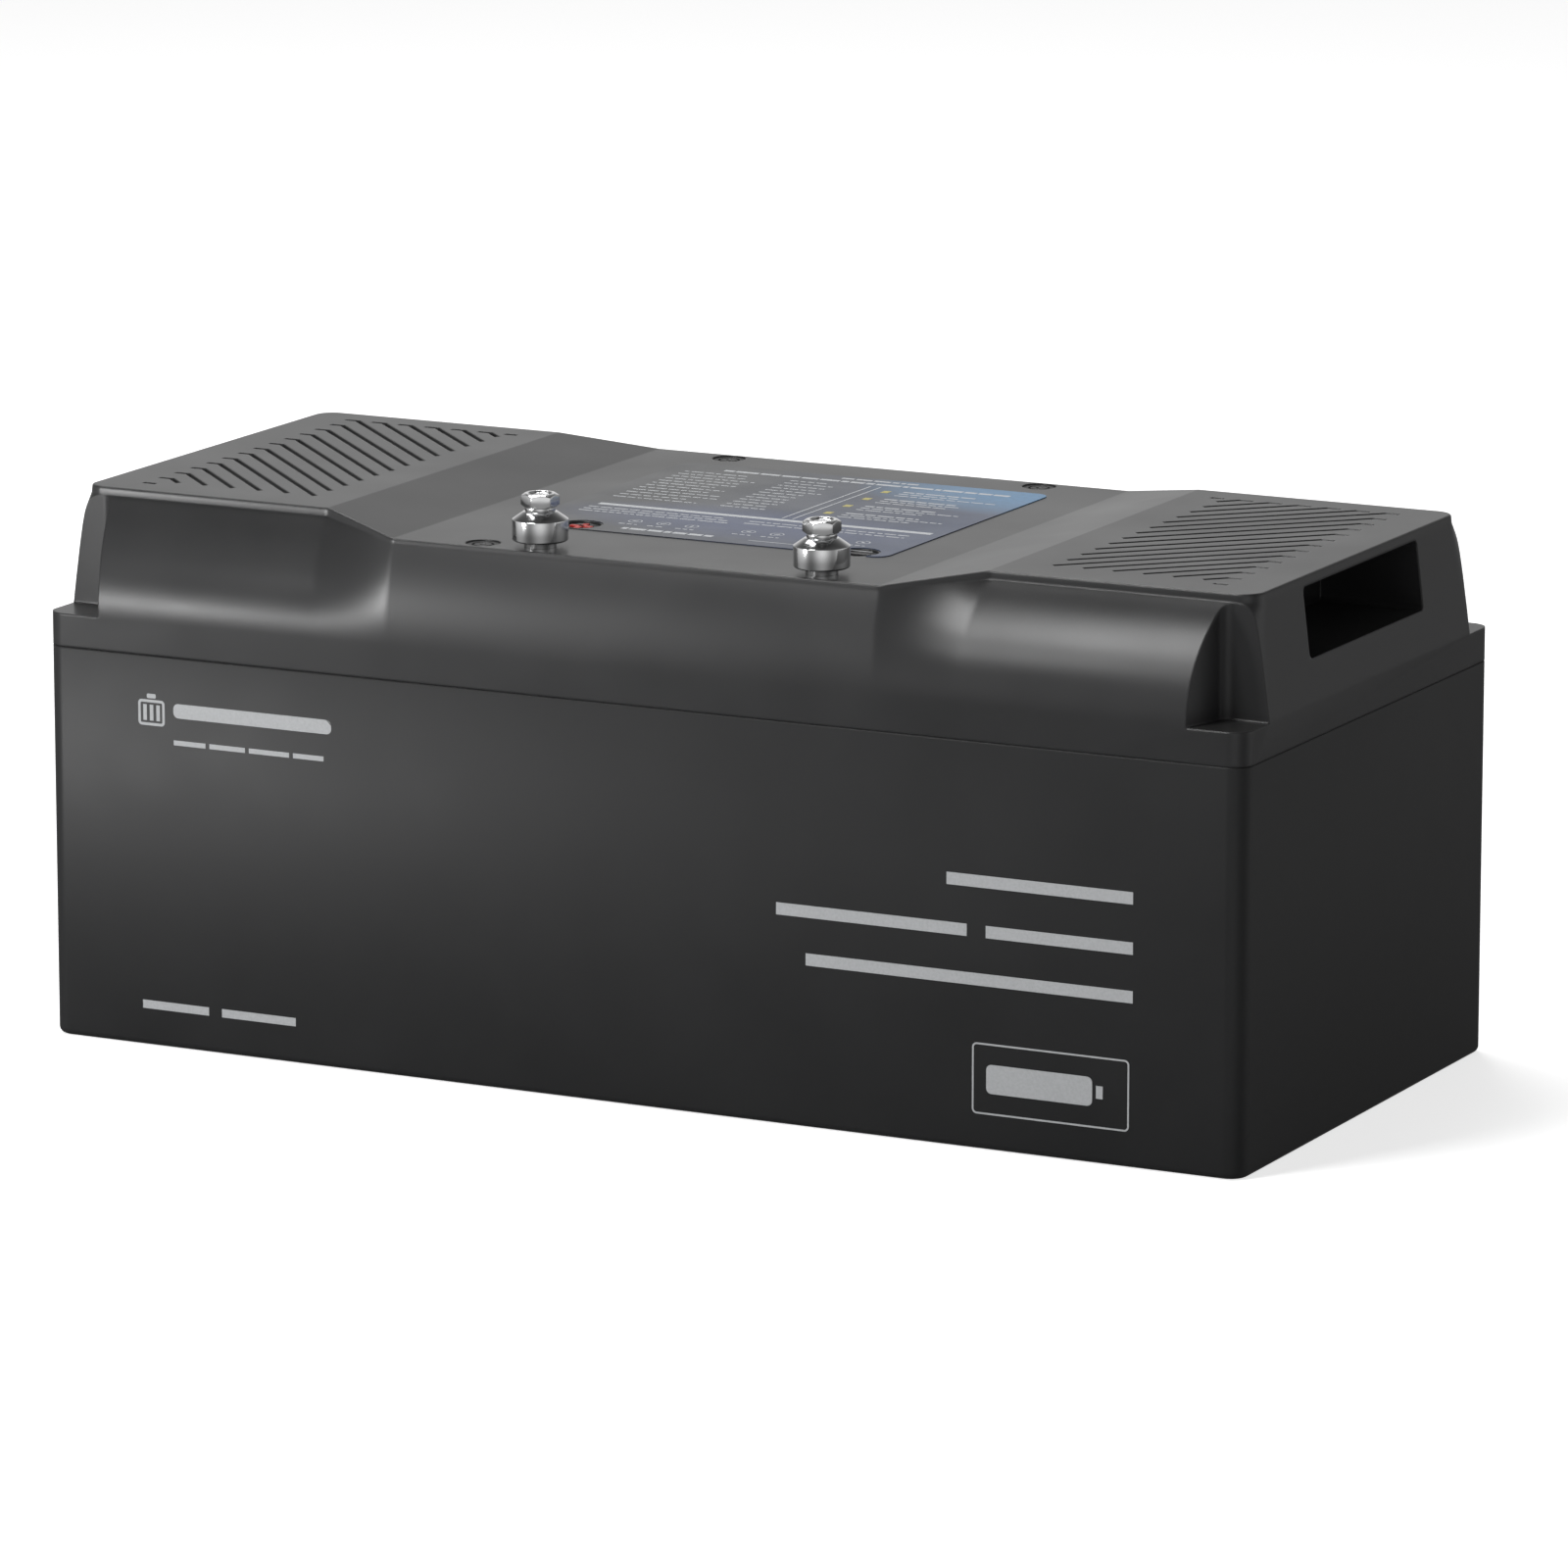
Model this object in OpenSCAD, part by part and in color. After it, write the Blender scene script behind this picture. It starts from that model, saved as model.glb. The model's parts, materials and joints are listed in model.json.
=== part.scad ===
// Deep cycle battery for a caravan: a moulded case and lid around eight lithium iron phosphate cells,
// their bus bars, straps and management board, with two bolted terminals on the lid.
// Millimetres, +Z up. The origin is at the middle of the base. The terminals stand along the front, at -Y.

/* [Case] */
// Length of the case along X
case_l = 522; // [516:1:530]
// Width of the case along Y
case_w = 236; // [234:1:242]
// Height of the seam between case and lid
seam_z = 158.7; // [158:0.1:162]
// Wall thickness of the case
case_wall = 4; // [3.6:0.1:4.4]
// Radius of the upright corners
corner_r = 8; // [6:0.5:10]

/* [Lid] */
// Height of the top of the lid's upright rim
rim_z = 172.2; // [170:0.1:174]
// Height of the raised end plates
end_z = 220.3; // [218:0.1:224]
// Height of the plate between them
mid_z = 214; // [213:0.1:216]
// How far the edge of an end plate is set back from the rim, front and back
end_inset = 22; // [20:0.5:24]
// How far the edge of the middle plate is set back
mid_inset = 6; // [5:0.5:7]
// Distance from the centre to the inner edge of an end plate
slope_out = 144; // [140:1:150]
// Distance from the centre to the foot of the slope
slope_in = 106; // [103:1:110]
// Wall thickness of the lid
lid_wall = 3.5; // [3:0.1:3.6]

/* [Handle pockets] */
// Width of a handle pocket
pocket_w = 109; // [100:1:115]
// Depth of a handle pocket, in from the end face
pocket_d = 46; // [40:1:50]
// Lower edge of the pocket
pocket_z0 = 189; // [186:0.5:192]
// Upper edge of the pocket
pocket_z1 = 216.4; // [214:0.1:216.6]

/* [Terminals] */
// Place of the positive terminal along X
pos_x = -46.6; // [-50:0.1:-44]
// Place of the negative terminal along X
neg_x = 75.5; // [74:0.1:78]
// Place of both terminals along Y
post_y = -100.5; // [-101:0.1:-100]
// Radius of the terminal's collar
collar_r = 11; // [10:0.1:11]
// Radius of the terminal bolt
bolt_r = 4; // [4:1:4]
// Width of the bolt's head across its flats
head_af = 13; // [12.5:0.1:13.5]

/* [Cells] */
// Thickness of a cell along X
cell_t = 50; // [49:0.5:50]
// Width of a cell along Y
cell_w = 160; // [156:1:160]
// Height of a cell
cell_h = 118; // [112:1:118]
// Gap between neighbouring cells, filled by an insulating sheet
cell_gap = 1; // [0.8:0.1:1.2]

/* [Hidden] */
$fn = 48;
eps = 0.01;

half_l = case_l / 2;
half_w = case_w / 2;

// Lid surface: an arc that starts upright at the rim and ends at a small upright lip under the plate's edge
end_lip = 2.6;
mid_lip = 0.6;
edge_r = 0.7;
arc_steps = 16;
slope_steps = 8;
corner_steps = 8;

// The end faces lean in by end_set, and the lid's corners grow rounder towards the rim
end_set = 6;
corner_top = 8;
corner_tuck = 8;
slope_drift = 7;

// Corner pockets
notch_depth = 21.8;
notch_front = 24.5;
notch_back = 18.7;
notch_fillet = 5;

// Grooves in the end plates
groove_w = 1.3;
groove_deep = 1;
groove_pitch = 12.5;
groove_out = 236.5;
groove_rows = 13;
groove_cols = 6;
groove_y = groove_rows * groove_pitch / 2;
groove_tick = 5.5;

// Screws that hold the lid, under their plugs; one stands aside to clear the negative terminal
screw_points = [[-70, -104], [65.5, -89], [-70, 104], [70, 104]];
plug_r = 6.85;
plug_h = 2.4;
boss_r = 7.6;
web_t = 3;
tower_r = 6.4;
screw_r = 2.2;
screw_head_z = seam_z + 6;

// Polarity marks in their round recesses, and the label between them
mark_points = [[-54, -53], [69, -56]];
mark_r = 7.8;
mark_deep = 1.6;
label_x = 1;
label_y = 13;
label_l = 164;
label_w = 150;
label_t = 0.3;

// Terminal stack, from the plate up
foot_h = 2.5;
collar_h = 8.5;
cone_h = 3;
washer_h = 1.8;
head_h = 5.3;
foot_r = 6.4;
thread_r = 4;
thread_gap = 0.02;
post_top_z = mid_z + foot_h + collar_h + cone_h;
head_z = post_top_z + washer_h;
shank_l = 14;
bore_l = 12.6;
turn_gap = 0.05;

// Inner pack
floor_z = case_wall;
pad_h = 3;
cell_z = floor_z + pad_h;
cell_top = cell_z + cell_h;
cell_pitch = cell_t + cell_gap;
pack_half = 4 * cell_pitch - cell_gap / 2;
plate_t = 6;
stud_y = 60;
bar_t = 2;
stud_h = 3;
bar_z = cell_top + stud_h;
nut_h = 4;
stud_top = bar_z + bar_t + nut_h + 1;
strap_t = 1;
strap_w = 16;

// Board and its tray
tray_z = stud_top + 3;
tray_t = 2.5;
tray_x = 10;
tray_l = 200;
tray_w = 100;
leg_r = 5;
board_z = tray_z + tray_t + 5;
board_t = 1.6;
sink_z = board_z + board_t;
sink_l = 120;
sink_w = 60;
sink_h = 14;

// Cables
cable_r = 4.2;
wire_r = 1.1;
lug_t = 2;
lug_z = mid_z - lid_wall - 1.6 - 6 - lug_t;

// ---------- helpers ----------

module rounded_rect(l, w, r) {
    square([l - 2 * r, w], center = true);
    square([l, w - 2 * r], center = true);
    for (sx = [-1, 1], sy = [-1, 1])
        translate([sx * (l / 2 - r), sy * (w / 2 - r)])
            circle(r);
}

module ring_frame(inset_out, inset_in, h) {
    linear_extrude(h)
        difference() {
            rounded_rect(case_l - 2 * inset_out, case_w - 2 * inset_out, corner_r - inset_out);
            rounded_rect(case_l - 2 * inset_in, case_w - 2 * inset_in, max(corner_r - inset_in, 1.5));
        }
}

module tube(r_out, r_in, h) {
    difference() {
        cylinder(r = r_out, h = h);
        translate([0, 0, -1])
            cylinder(r = r_in, h = h + 2);
    }
}

module hex(af, h) {
    cylinder(r = af / 2 / cos(30), h = h, $fn = 6);
}

// ---------- lid surface ----------

function mix(a, b, t) = a + (b - a) * t;

// Set-back and height on the front surface: t runs from the middle (0) to an end plate (1), s from the rim
// (0) to the lip (1); a turn of 0 or more is an angle round the plate's small edge radius instead
function spot(t, s, turn, wall) =
    let (
        a = mix(mid_inset, end_inset, t),
        top = mix(mid_z, end_z, t) - wall,
        h = top - edge_r - mix(mid_lip, end_lip, t) - rim_z,
        bend = 2 * atan(a / h),
        r = h / sin(bend)
    )
    turn < 0
        ? [wall + r * (1 - cos(bend * s)), rim_z + r * sin(bend * s)]
        : [wall + a + edge_r * (1 - cos(turn)), top - edge_r + edge_r * sin(turn)];

function slope_xs(s) =
    let (far = slope_out - slope_drift * (1 - s))
    [for (i = [0:slope_steps]) mix(far, slope_in, i / slope_steps)];

// One closed ring of the lid, seen from above: a quarter ellipse at each corner and the slopes' stations
function ring(s, turn, wall) =
    let (
        end = spot(1, s, turn, wall),
        lean = end_set * (end[1] + wall - rim_z) / (end_z - rim_z),
        e = lean + wall + (turn < 0 ? 0 : edge_r * (1 - cos(turn))),
        cx = end_set + corner_top,
        cy = end_inset + corner_top - corner_tuck * pow(1 - s, 2),
        quarter = [
            for (j = [0:corner_steps])
                let (a = 90 * j / corner_steps)
                [half_l - cx + (cx - e) * cos(a), half_w - cy + (cy - end[0]) * sin(a)]
        ],
        xs = slope_xs(s),
        half = [
            for (i = [0:slope_steps])
                let (p = spot(1 - i / slope_steps, s, turn, wall))
                [xs[i], half_w - p[0], p[1]]
        ],
        q = corner_steps,
        m = slope_steps
    )
    concat(
        [for (j = [0:q]) [-quarter[j][0], -quarter[j][1], end[1]]],
        [for (i = [0:m]) [-half[i][0], -half[i][1], half[i][2]]],
        [for (i = [m:-1:0]) [half[i][0], -half[i][1], half[i][2]]],
        [for (j = [q:-1:0]) [quarter[j][0], -quarter[j][1], end[1]]],
        [for (j = [0:q]) [quarter[j][0], quarter[j][1], end[1]]],
        [for (i = [0:m]) [half[i][0], half[i][1], half[i][2]]],
        [for (i = [m:-1:0]) [-half[i][0], half[i][1], half[i][2]]],
        [for (j = [q:-1:0]) [-quarter[j][0], quarter[j][1], end[1]]]
    );

module lid_body(wall, bottom) {
    base = [for (p = ring(0, -1, wall)) [p[0], p[1], bottom]];
    rings = concat(
        [base],
        [for (i = [0:arc_steps]) ring(i / arc_steps, -1, wall)],
        [for (turn = [0, 45, 90]) ring(1, turn, wall)]
    );
    n = len(base);
    levels = len(rings);
    top = (levels - 1) * n;
    corner = corner_steps + 1;
    stations = 2 * (slope_steps + 1);
    front = top + corner;
    back = top + 3 * corner + 2 * stations - 1;
    sides = [
        for (i = [0:levels - 2], j = [0:n - 1])
            let (a = i * n + j, b = i * n + (j + 1) % n)
            each [[a, a + n, b + n], [a, b + n, b]]
    ];
    strips = [for (i = [0:stations - 2]) [back - i, back - i - 1, front + i + 1, front + i]];
    left_plate = concat(
        [front],
        [for (j = [corner - 1:-1:0]) top + j],
        [for (j = [n - 1:-1:n - corner]) top + j],
        [back]
    );
    right_plate = concat(
        [back - stations + 1],
        [for (j = [3 * corner + stations - 1:-1:corner + stations]) top + j],
        [front + stations - 1]
    );
    floor_cap = [for (j = [0:n - 1]) j];
    polyhedron(
        points = [for (r = rings) each r],
        faces = concat(sides, strips, [left_plate, right_plate, floor_cap]),
        convexity = 6
    );
}

// Plan of a corner pocket, measured in from the end and from the front face
module notch_plan() {
    run = atan((notch_front - notch_back) / notch_depth);
    half_turn = (90 - run) / 2;
    reach = notch_fillet * tan(half_turn);
    cx = notch_back - reach;
    fillet = [
        for (i = [0:4])
            let (a = 90 - (90 - run) * i / 4)
            [cx + notch_fillet * cos(a), notch_depth - notch_fillet + notch_fillet * sin(a)]
    ];
    polygon(concat([[-8, notch_depth]], fillet, [[notch_front + 8 * tan(run), -8], [-8, -8]]));
}

module notch() {
    translate([0, 0, rim_z])
        linear_extrude(end_z - rim_z)
            notch_plan();
}

// Places its child at each corner, with X and Y running inwards from the end and the side
module each_corner() {
    for (mx = [0, 1], my = [0, 1])
        mirror([mx, 0, 0])
            mirror([0, my, 0])
                translate([half_l, -half_w, 0])
                    mirror([1, 0, 0])
                        children();
}

module handle_box(grow, depth) {
    translate([half_l - depth, 0, (pocket_z0 + pocket_z1) / 2])
        rotate([90, 0, 90])
            linear_extrude(depth + 10)
                rounded_rect(pocket_w + 2 * grow, pocket_z1 - pocket_z0 + 2 * grow, 2.5 + grow);
}

module both_ends() {
    for (mx = [0, 1])
        mirror([mx, 0, 0])
            children();
}

// One bent groove: a short tick along X at the outer or back edge of the pattern, then a diagonal of length
// run along each axis towards the inner or front edge; a groove with no run is the tick alone
module groove(x, y, run) {
    h = groove_w / 2;
    bend = h * tan(22.5);
    d = h * sin(45);
    translate([x, y, 0])
        linear_extrude(2 * groove_deep)
            polygon(
                run > 0
                    ? [
                        [0, h], [0, -h], [groove_tick - bend, -h], [groove_tick + run - d, -run - d],
                        [groove_tick + run + d, d - run], [groove_tick + bend, h]
                    ]
                    : [[0, h], [0, -h], [groove_tick, -h], [groove_tick, h]]
            );
}

module groove_set() {
    translate([-groove_out, 0, end_z - groove_deep]) {
        for (k = [0:groove_rows])
            groove(0, -groove_y + k * groove_pitch, min(k, groove_cols) * groove_pitch - groove_tick);
        for (k = [1:groove_cols])
            groove(k * groove_pitch, groove_y, (groove_cols - k) * groove_pitch - groove_tick);
    }
}

module at_screws() {
    for (p = screw_points)
        translate([p[0], p[1], 0])
            children();
}

// Webs that tie the bosses of the case to its walls
module boss_webs(grow) {
    for (p = screw_points)
        translate([p[0] - web_t / 2 - grow, p[1] > 0 ? p[1] : -half_w + 1, 0])
            cube([web_t + 2 * grow, abs(half_w - 1 - abs(p[1])), seam_z]);
}

module at_posts() {
    for (x = [pos_x, neg_x])
        translate([x, post_y, 0])
            children();
}

module mark_recess() {
    for (p = mark_points)
        translate([p[0], p[1], mid_z - mark_deep])
            cylinder(r = mark_r, h = 5);
}

// ---------- outside ----------

module case() {
    color("#343536")
        difference() {
            hull()
                for (sx = [-1, 1], sy = [-1, 1])
                    translate([sx * (half_l - corner_r), sy * (half_w - corner_r), 0]) {
                        cylinder(r = corner_r - 3, h = 1);
                        translate([0, 0, 0.9])
                            cylinder(r = corner_r - 0.95, h = 1);
                        translate([0, 0, 3])
                            cylinder(r = corner_r, h = seam_z - 3);
                    }
            difference() {
                translate([0, 0, floor_z])
                    linear_extrude(seam_z)
                        rounded_rect(case_l - 2 * case_wall, case_w - 2 * case_wall, corner_r - case_wall);
                at_screws()
                    cylinder(r = boss_r, h = seam_z);
                boss_webs(0);
            }
            translate([0, 0, seam_z - 1.5])
                ring_frame(1.3, 2.7, 5);
            at_screws()
                translate([0, 0, 130])
                    cylinder(r = screw_r + thread_gap, h = 60);
        }
}

module lid() {
    color("#3a3b3c")
        difference() {
            union() {
                difference() {
                    union() {
                        lid_body(0, rim_z - 4);
                        translate([0, 0, seam_z])
                            linear_extrude(rim_z - seam_z)
                                rounded_rect(case_l, case_w, corner_r);
                    }
                    difference() {
                        lid_body(lid_wall, seam_z - 1);
                        // material left around the corner pockets and the handle pockets
                        each_corner()
                            translate([-12, -12, rim_z - lid_wall])
                                cube([notch_front + 12 + lid_wall, notch_depth + 12 + lid_wall, 60]);
                        both_ends()
                            handle_box(lid_wall - 0.5, pocket_d + lid_wall - 0.5);
                    }
                }
                // screw towers, from the plate down to the seam, with a wider seat for each plug
                at_screws() {
                    translate([0, 0, seam_z])
                        cylinder(r = tower_r, h = mid_z - seam_z - 1);
                    translate([0, 0, mid_z - plug_h - 2])
                        cylinder(r = plug_r + 1.2, h = plug_h + 1);
                }
                // lip that centres the lid in the case
                translate([0, 0, seam_z - 5])
                    ring_frame(case_wall + 0.2, case_wall + 1.8, 6);
                translate([0, 0, seam_z])
                    ring_frame(lid_wall - 0.5, case_wall + 1.8, 3);
            }
            each_corner()
                notch();
            both_ends()
                handle_box(0, pocket_d);
            both_ends()
                groove_set();
            // gasket groove
            translate([0, 0, seam_z - 1])
                ring_frame(1.3, 2.7, 2);
            at_screws() {
                translate([0, 0, screw_head_z])
                    cylinder(r = 4.6, h = 80);
                translate([0, 0, mid_z - plug_h])
                    cylinder(r = plug_r, h = 20);
                translate([0, 0, seam_z - 6])
                    cylinder(r = screw_r + 0.3, h = 20);
            }
            // the lip is cut away around the bosses of the case and their webs
            translate([0, 0, seam_z - 7])
                at_screws()
                    cylinder(r = boss_r + 0.4, h = 7);
            boss_webs(0.4);
            at_posts()
                translate([0, 0, mid_z - 20])
                    cylinder(r = thread_r + 0.3, h = 40);
            mark_recess();
        }
}

module lid_gasket() {
    color("#1c1c1c")
        translate([0, 0, seam_z - 1.5])
            ring_frame(1.3, 2.7, 2.5);
}

module lid_screws() {
    color("#b9bcbf")
        at_screws() {
            difference() {
                translate([0, 0, screw_head_z])
                    cylinder(r = 4.2, h = 3);
                translate([0, 0, screw_head_z + 1.2])
                    hex(4, 4);
            }
            translate([0, 0, screw_head_z - 26])
                cylinder(r = screw_r, h = 26 + eps);
        }
}

module screw_plugs() {
    color("#202122")
        at_screws()
            translate([0, 0, mid_z - plug_h])
                difference() {
                    cylinder(r = plug_r - 0.1, h = plug_h - 0.5);
                    translate([0, 0, plug_h - 1.1])
                        tube(4.4, 3.6, 2);
                }
}

// A brass stud with a foot, a round collar and a cone; the bolt screws into its bore
module post() {
    difference() {
        union() {
            translate([0, 0, lug_z - 7])
                cylinder(r = thread_r, h = mid_z - lug_z + 7 + eps);
            translate([0, 0, mid_z])
                cylinder(r = foot_r, h = foot_h + eps);
            translate([0, 0, mid_z + foot_h]) {
                cylinder(r1 = collar_r - 0.6, r2 = collar_r, h = 0.6 + eps);
                translate([0, 0, 0.6])
                    cylinder(r = collar_r, h = collar_h - 0.6 + eps);
                translate([0, 0, collar_h])
                    cylinder(r1 = collar_r, r2 = 6.6, h = cone_h);
            }
        }
        translate([0, 0, post_top_z - bore_l])
            cylinder(r = bolt_r + turn_gap, h = bore_l + 5);
    }
}

module positive_post() {
    color("#d9dadb")
        translate([pos_x, post_y, 0])
            post();
}

module negative_post() {
    color("#d9dadb")
        translate([neg_x, post_y, 0])
            post();
}

module post_seals() {
    color("#1c1c1c")
        at_posts()
            translate([0, 0, mid_z - lid_wall - 1.6])
                tube(7, thread_r + thread_gap, 1.6);
}

module post_nut(h) {
    difference() {
        hex(13, h);
        translate([0, 0, -1])
            cylinder(r = thread_r + thread_gap, h = h + 2);
    }
}

module post_nuts() {
    color("#c8a95a")
        at_posts() {
            translate([0, 0, lug_z + lug_t])
                post_nut(6);
            translate([0, 0, lug_z - 5])
                post_nut(5);
        }
}

module washer() {
    difference() {
        union() {
            cylinder(r = 6, h = washer_h - 0.3);
            translate([0, 0, washer_h - 0.3 - eps])
                cylinder(r1 = 6, r2 = 5.6, h = 0.3 + eps);
        }
        translate([0, 0, -1])
            cylinder(r = bolt_r + 0.35, h = washer_h + 2);
    }
}

module positive_washer() {
    color("#cfd1d3")
        translate([pos_x, post_y, post_top_z])
            washer();
}

module negative_washer() {
    color("#cfd1d3")
        translate([neg_x, post_y, post_top_z])
            washer();
}

// Hexagon bolt: the head's corners are turned off above and below
module bolt() {
    difference() {
        union() {
            intersection() {
                hex(head_af, head_h);
                union() {
                    cylinder(r1 = head_af / 2 - 0.2, r2 = head_af / 2 + 1.1, h = 0.8 + eps);
                    translate([0, 0, 0.8])
                        cylinder(r = head_af / 2 + 1.1, h = head_h - 1.8 + eps);
                    translate([0, 0, head_h - 1])
                        cylinder(r1 = head_af / 2 + 1.1, r2 = head_af / 2 - 0.5, h = 1);
                }
            }
            translate([0, 0, -shank_l])
                cylinder(r = bolt_r, h = shank_l + eps);
        }
        translate([0, 0, head_h - 0.8])
            cylinder(r = head_af / 2 - 2, h = 5);
    }
}

module positive_bolt() {
    color("#e3e4e5")
        translate([pos_x, post_y, head_z])
            bolt();
}

module negative_bolt() {
    color("#e3e4e5")
        translate([neg_x, post_y, head_z])
            bolt();
}

// Round insert that carries the sign of the terminal as raised bars
module sign_disc(bars) {
    cylinder(r = mark_r - 0.1, h = 0.8);
    for (a = bars)
        rotate([0, 0, a])
            translate([-5, -1.2, 0])
                cube([10, 2.4, 1.3]);
}

module positive_mark() {
    color("#c8322c")
        translate([mark_points[0][0], mark_points[0][1], mid_z - mark_deep])
            sign_disc([0, 90]);
}

module negative_mark() {
    color("#161718")
        translate([mark_points[1][0], mark_points[1][1], mid_z - mark_deep])
            sign_disc([0]);
}

module top_label() {
    color("#5f7fae")
        difference() {
            translate([label_x, label_y, mid_z])
                linear_extrude(label_t)
                    rounded_rect(label_l, label_w, 6);
            for (p = mark_points)
                translate([p[0], p[1], mid_z - 1])
                    cylinder(r = mark_r + 0.8, h = 5);
        }
}

// ---------- padding ----------

module base_pad() {
    color("#4c4d50")
        translate([0, 0, floor_z])
            linear_extrude(pad_h)
                difference() {
                    square([2 * (pack_half + plate_t), cell_w], center = true);
                    for (x = [-150, 0, 150])
                        translate([x, 0])
                            circle(20);
                }
}

module side_foam(y0, y1) {
    difference() {
        translate([-pack_half, y0, floor_z])
            cube([2 * pack_half, y1 - y0, cell_h * 0.6]);
        at_screws()
            cylinder(r = boss_r + 1.5, h = seam_z);
        boss_webs(1);
    }
}

module foam_front() {
    color("#55565a")
        side_foam(-half_w + case_wall, -cell_w / 2 - 1.5);
}

module foam_back() {
    color("#55565a")
        side_foam(cell_w / 2 + 1.5, half_w - case_wall);
}

module end_foam(x0) {
    translate([x0, -cell_w / 2, floor_z])
        cube([half_l - case_wall - pack_half - plate_t - strap_t, cell_w, cell_h * 0.8]);
}

module foam_left() {
    color("#55565a")
        end_foam(-half_l + case_wall);
}

module foam_right() {
    color("#55565a")
        end_foam(pack_half + plate_t + strap_t);
}

// ---------- cells and their stack ----------

function cell_x(i) = (i - 4.5) * cell_pitch;
// Cells go in pairs side by side, and every other pair is turned end for end
function pair_sign(i) = (floor((i - 1) / 2) % 2 == 0) ? 1 : -1;

module cell(i) {
    color("#3f6fb0")
        translate([cell_x(i), 0, cell_z]) {
            difference() {
                linear_extrude(cell_h)
                    rounded_rect(cell_t, cell_w, 3);
                // pressure vent in the top
                translate([0, 0, cell_h - 0.6])
                    cylinder(r = 8, h = 2);
            }
            for (s = [-1, 1])
                translate([0, s * stud_y, cell_h - eps]) {
                    cylinder(r = 9, h = stud_h + eps);
                    cylinder(r = 3, h = stud_top - cell_top);
                }
            // raised ring that marks the positive side
            translate([0, -pair_sign(i) * (stud_y + 14), cell_h - eps])
                cylinder(r = 3, h = 0.5);
        }
}

module cell_spacers() {
    color("#e6e3d8")
        for (i = [1:7])
            translate([cell_x(i) + cell_t / 2, -cell_w / 2 + 2, cell_z])
                cube([cell_gap, cell_w - 4, cell_h - 4]);
}

module end_plate(side) {
    mirror([side < 0 ? 1 : 0, 0, 0])
        translate([pack_half, 0, cell_z])
            difference() {
                translate([0, -cell_w / 2, 0])
                    cube([plate_t, cell_w, cell_h - 6]);
                // lightening pockets in the outer face
                for (y = [-48, 0, 48])
                    translate([plate_t - 2.5, y - 19, 42])
                        cube([5, 38, 38]);
            }
}

module end_plate_left() {
    color("#b4b8bb")
        end_plate(-1);
}

module end_plate_right() {
    color("#b4b8bb")
        end_plate(1);
}

// Two steel bands around the whole stack
module pack_straps() {
    color("#9fa4a8")
        for (z = [cell_z + 22, cell_z + 84])
            translate([0, 0, z])
                linear_extrude(strap_w)
                    difference() {
                        square([2 * (pack_half + plate_t + strap_t), cell_w + 2 * strap_t], center = true);
                        square([2 * (pack_half + plate_t), cell_w], center = true);
                    }
}

// A copper bar over the studs of cells first to last on one side
module busbar(first, last, side, tab) {
    mid_x = (cell_x(first) + cell_x(last)) / 2;
    span = cell_x(last) - cell_x(first) + 26;
    difference() {
        union() {
            translate([mid_x, side * stud_y, bar_z])
                linear_extrude(bar_t)
                    rounded_rect(span, 20, 4);
            if (tab != 0)
                translate([mid_x, side * (stud_y - 18), bar_z])
                    linear_extrude(bar_t)
                        rounded_rect(22, 22, 4);
        }
        for (i = [first:last])
            translate([cell_x(i), side * stud_y, bar_z - 1])
                cylinder(r = 3.3, h = bar_t + 2);
        if (tab != 0)
            translate([mid_x, side * (stud_y - 20), bar_z - 1])
                cylinder(r = 3.3, h = bar_t + 2);
    }
}

module busbar_positive() {
    color("#c98a4b")
        busbar(1, 2, -1, 1);
}

module busbar_link_1() {
    color("#c98a4b")
        busbar(1, 4, 1, 0);
}

module busbar_link_2() {
    color("#c98a4b")
        busbar(3, 6, -1, 0);
}

module busbar_link_3() {
    color("#c98a4b")
        busbar(5, 8, 1, 0);
}

module busbar_negative() {
    color("#c98a4b")
        busbar(7, 8, -1, 1);
}

module busbar_nuts() {
    color("#c9cccf")
        for (i = [1:8], s = [-1, 1])
            translate([cell_x(i), s * stud_y, bar_z + bar_t])
                difference() {
                    hex(10, nut_h);
                    translate([0, 0, -1])
                        cylinder(r = 3.05, h = nut_h + 2);
                }
}

// ---------- electronics ----------

tray_legs = [for (sx = [-1, 1], sy = [-1, 1]) [tray_x + sx * 89.5, sy * 40]];

// Plastic tray on four legs that stand on the cells
module board_tray() {
    color("#2c2d2f") {
        difference() {
            translate([tray_x, 0, tray_z])
                linear_extrude(tray_t)
                    rounded_rect(tray_l, tray_w, 6);
            for (x = [-60, 0, 60])
                translate([tray_x + x, 0, tray_z - 1])
                    linear_extrude(tray_t + 2)
                        rounded_rect(30, 50, 4);
        }
        for (p = tray_legs)
            translate([p[0], p[1], 0]) {
                translate([0, 0, cell_top])
                    cylinder(r = leg_r, h = tray_z - cell_top + eps);
                translate([0, 0, tray_z + tray_t - eps])
                    tube(leg_r, 1.5, board_z - tray_z - tray_t + eps);
            }
    }
}

module control_board() {
    color("#1f5a3a")
        difference() {
            union() {
                translate([tray_x, 0, board_z])
                    linear_extrude(board_t)
                        rounded_rect(tray_l - 4, tray_w - 4, 4);
                // switching transistors along the back edge, and shunt blocks in front
                for (i = [-3:3])
                    translate([tray_x + i * 16 - 5, 33, board_z + board_t - eps])
                        cube([10, 9, 4.5]);
                for (i = [-1, 0, 1])
                    translate([tray_x + i * 30 - 10, -44, board_z + board_t - eps])
                        cube([20, 7, 3]);
            }
            for (p = tray_legs)
                translate([p[0], p[1], board_z - 1])
                    cylinder(r = 1.7, h = 5);
        }
}

module board_screws() {
    color("#c9cccf")
        for (p = tray_legs)
            translate([p[0], p[1], board_z + board_t]) {
                cylinder(r = 3, h = 2);
                translate([0, 0, -6])
                    cylinder(r = 1.5, h = 6 + eps);
            }
}

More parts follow.
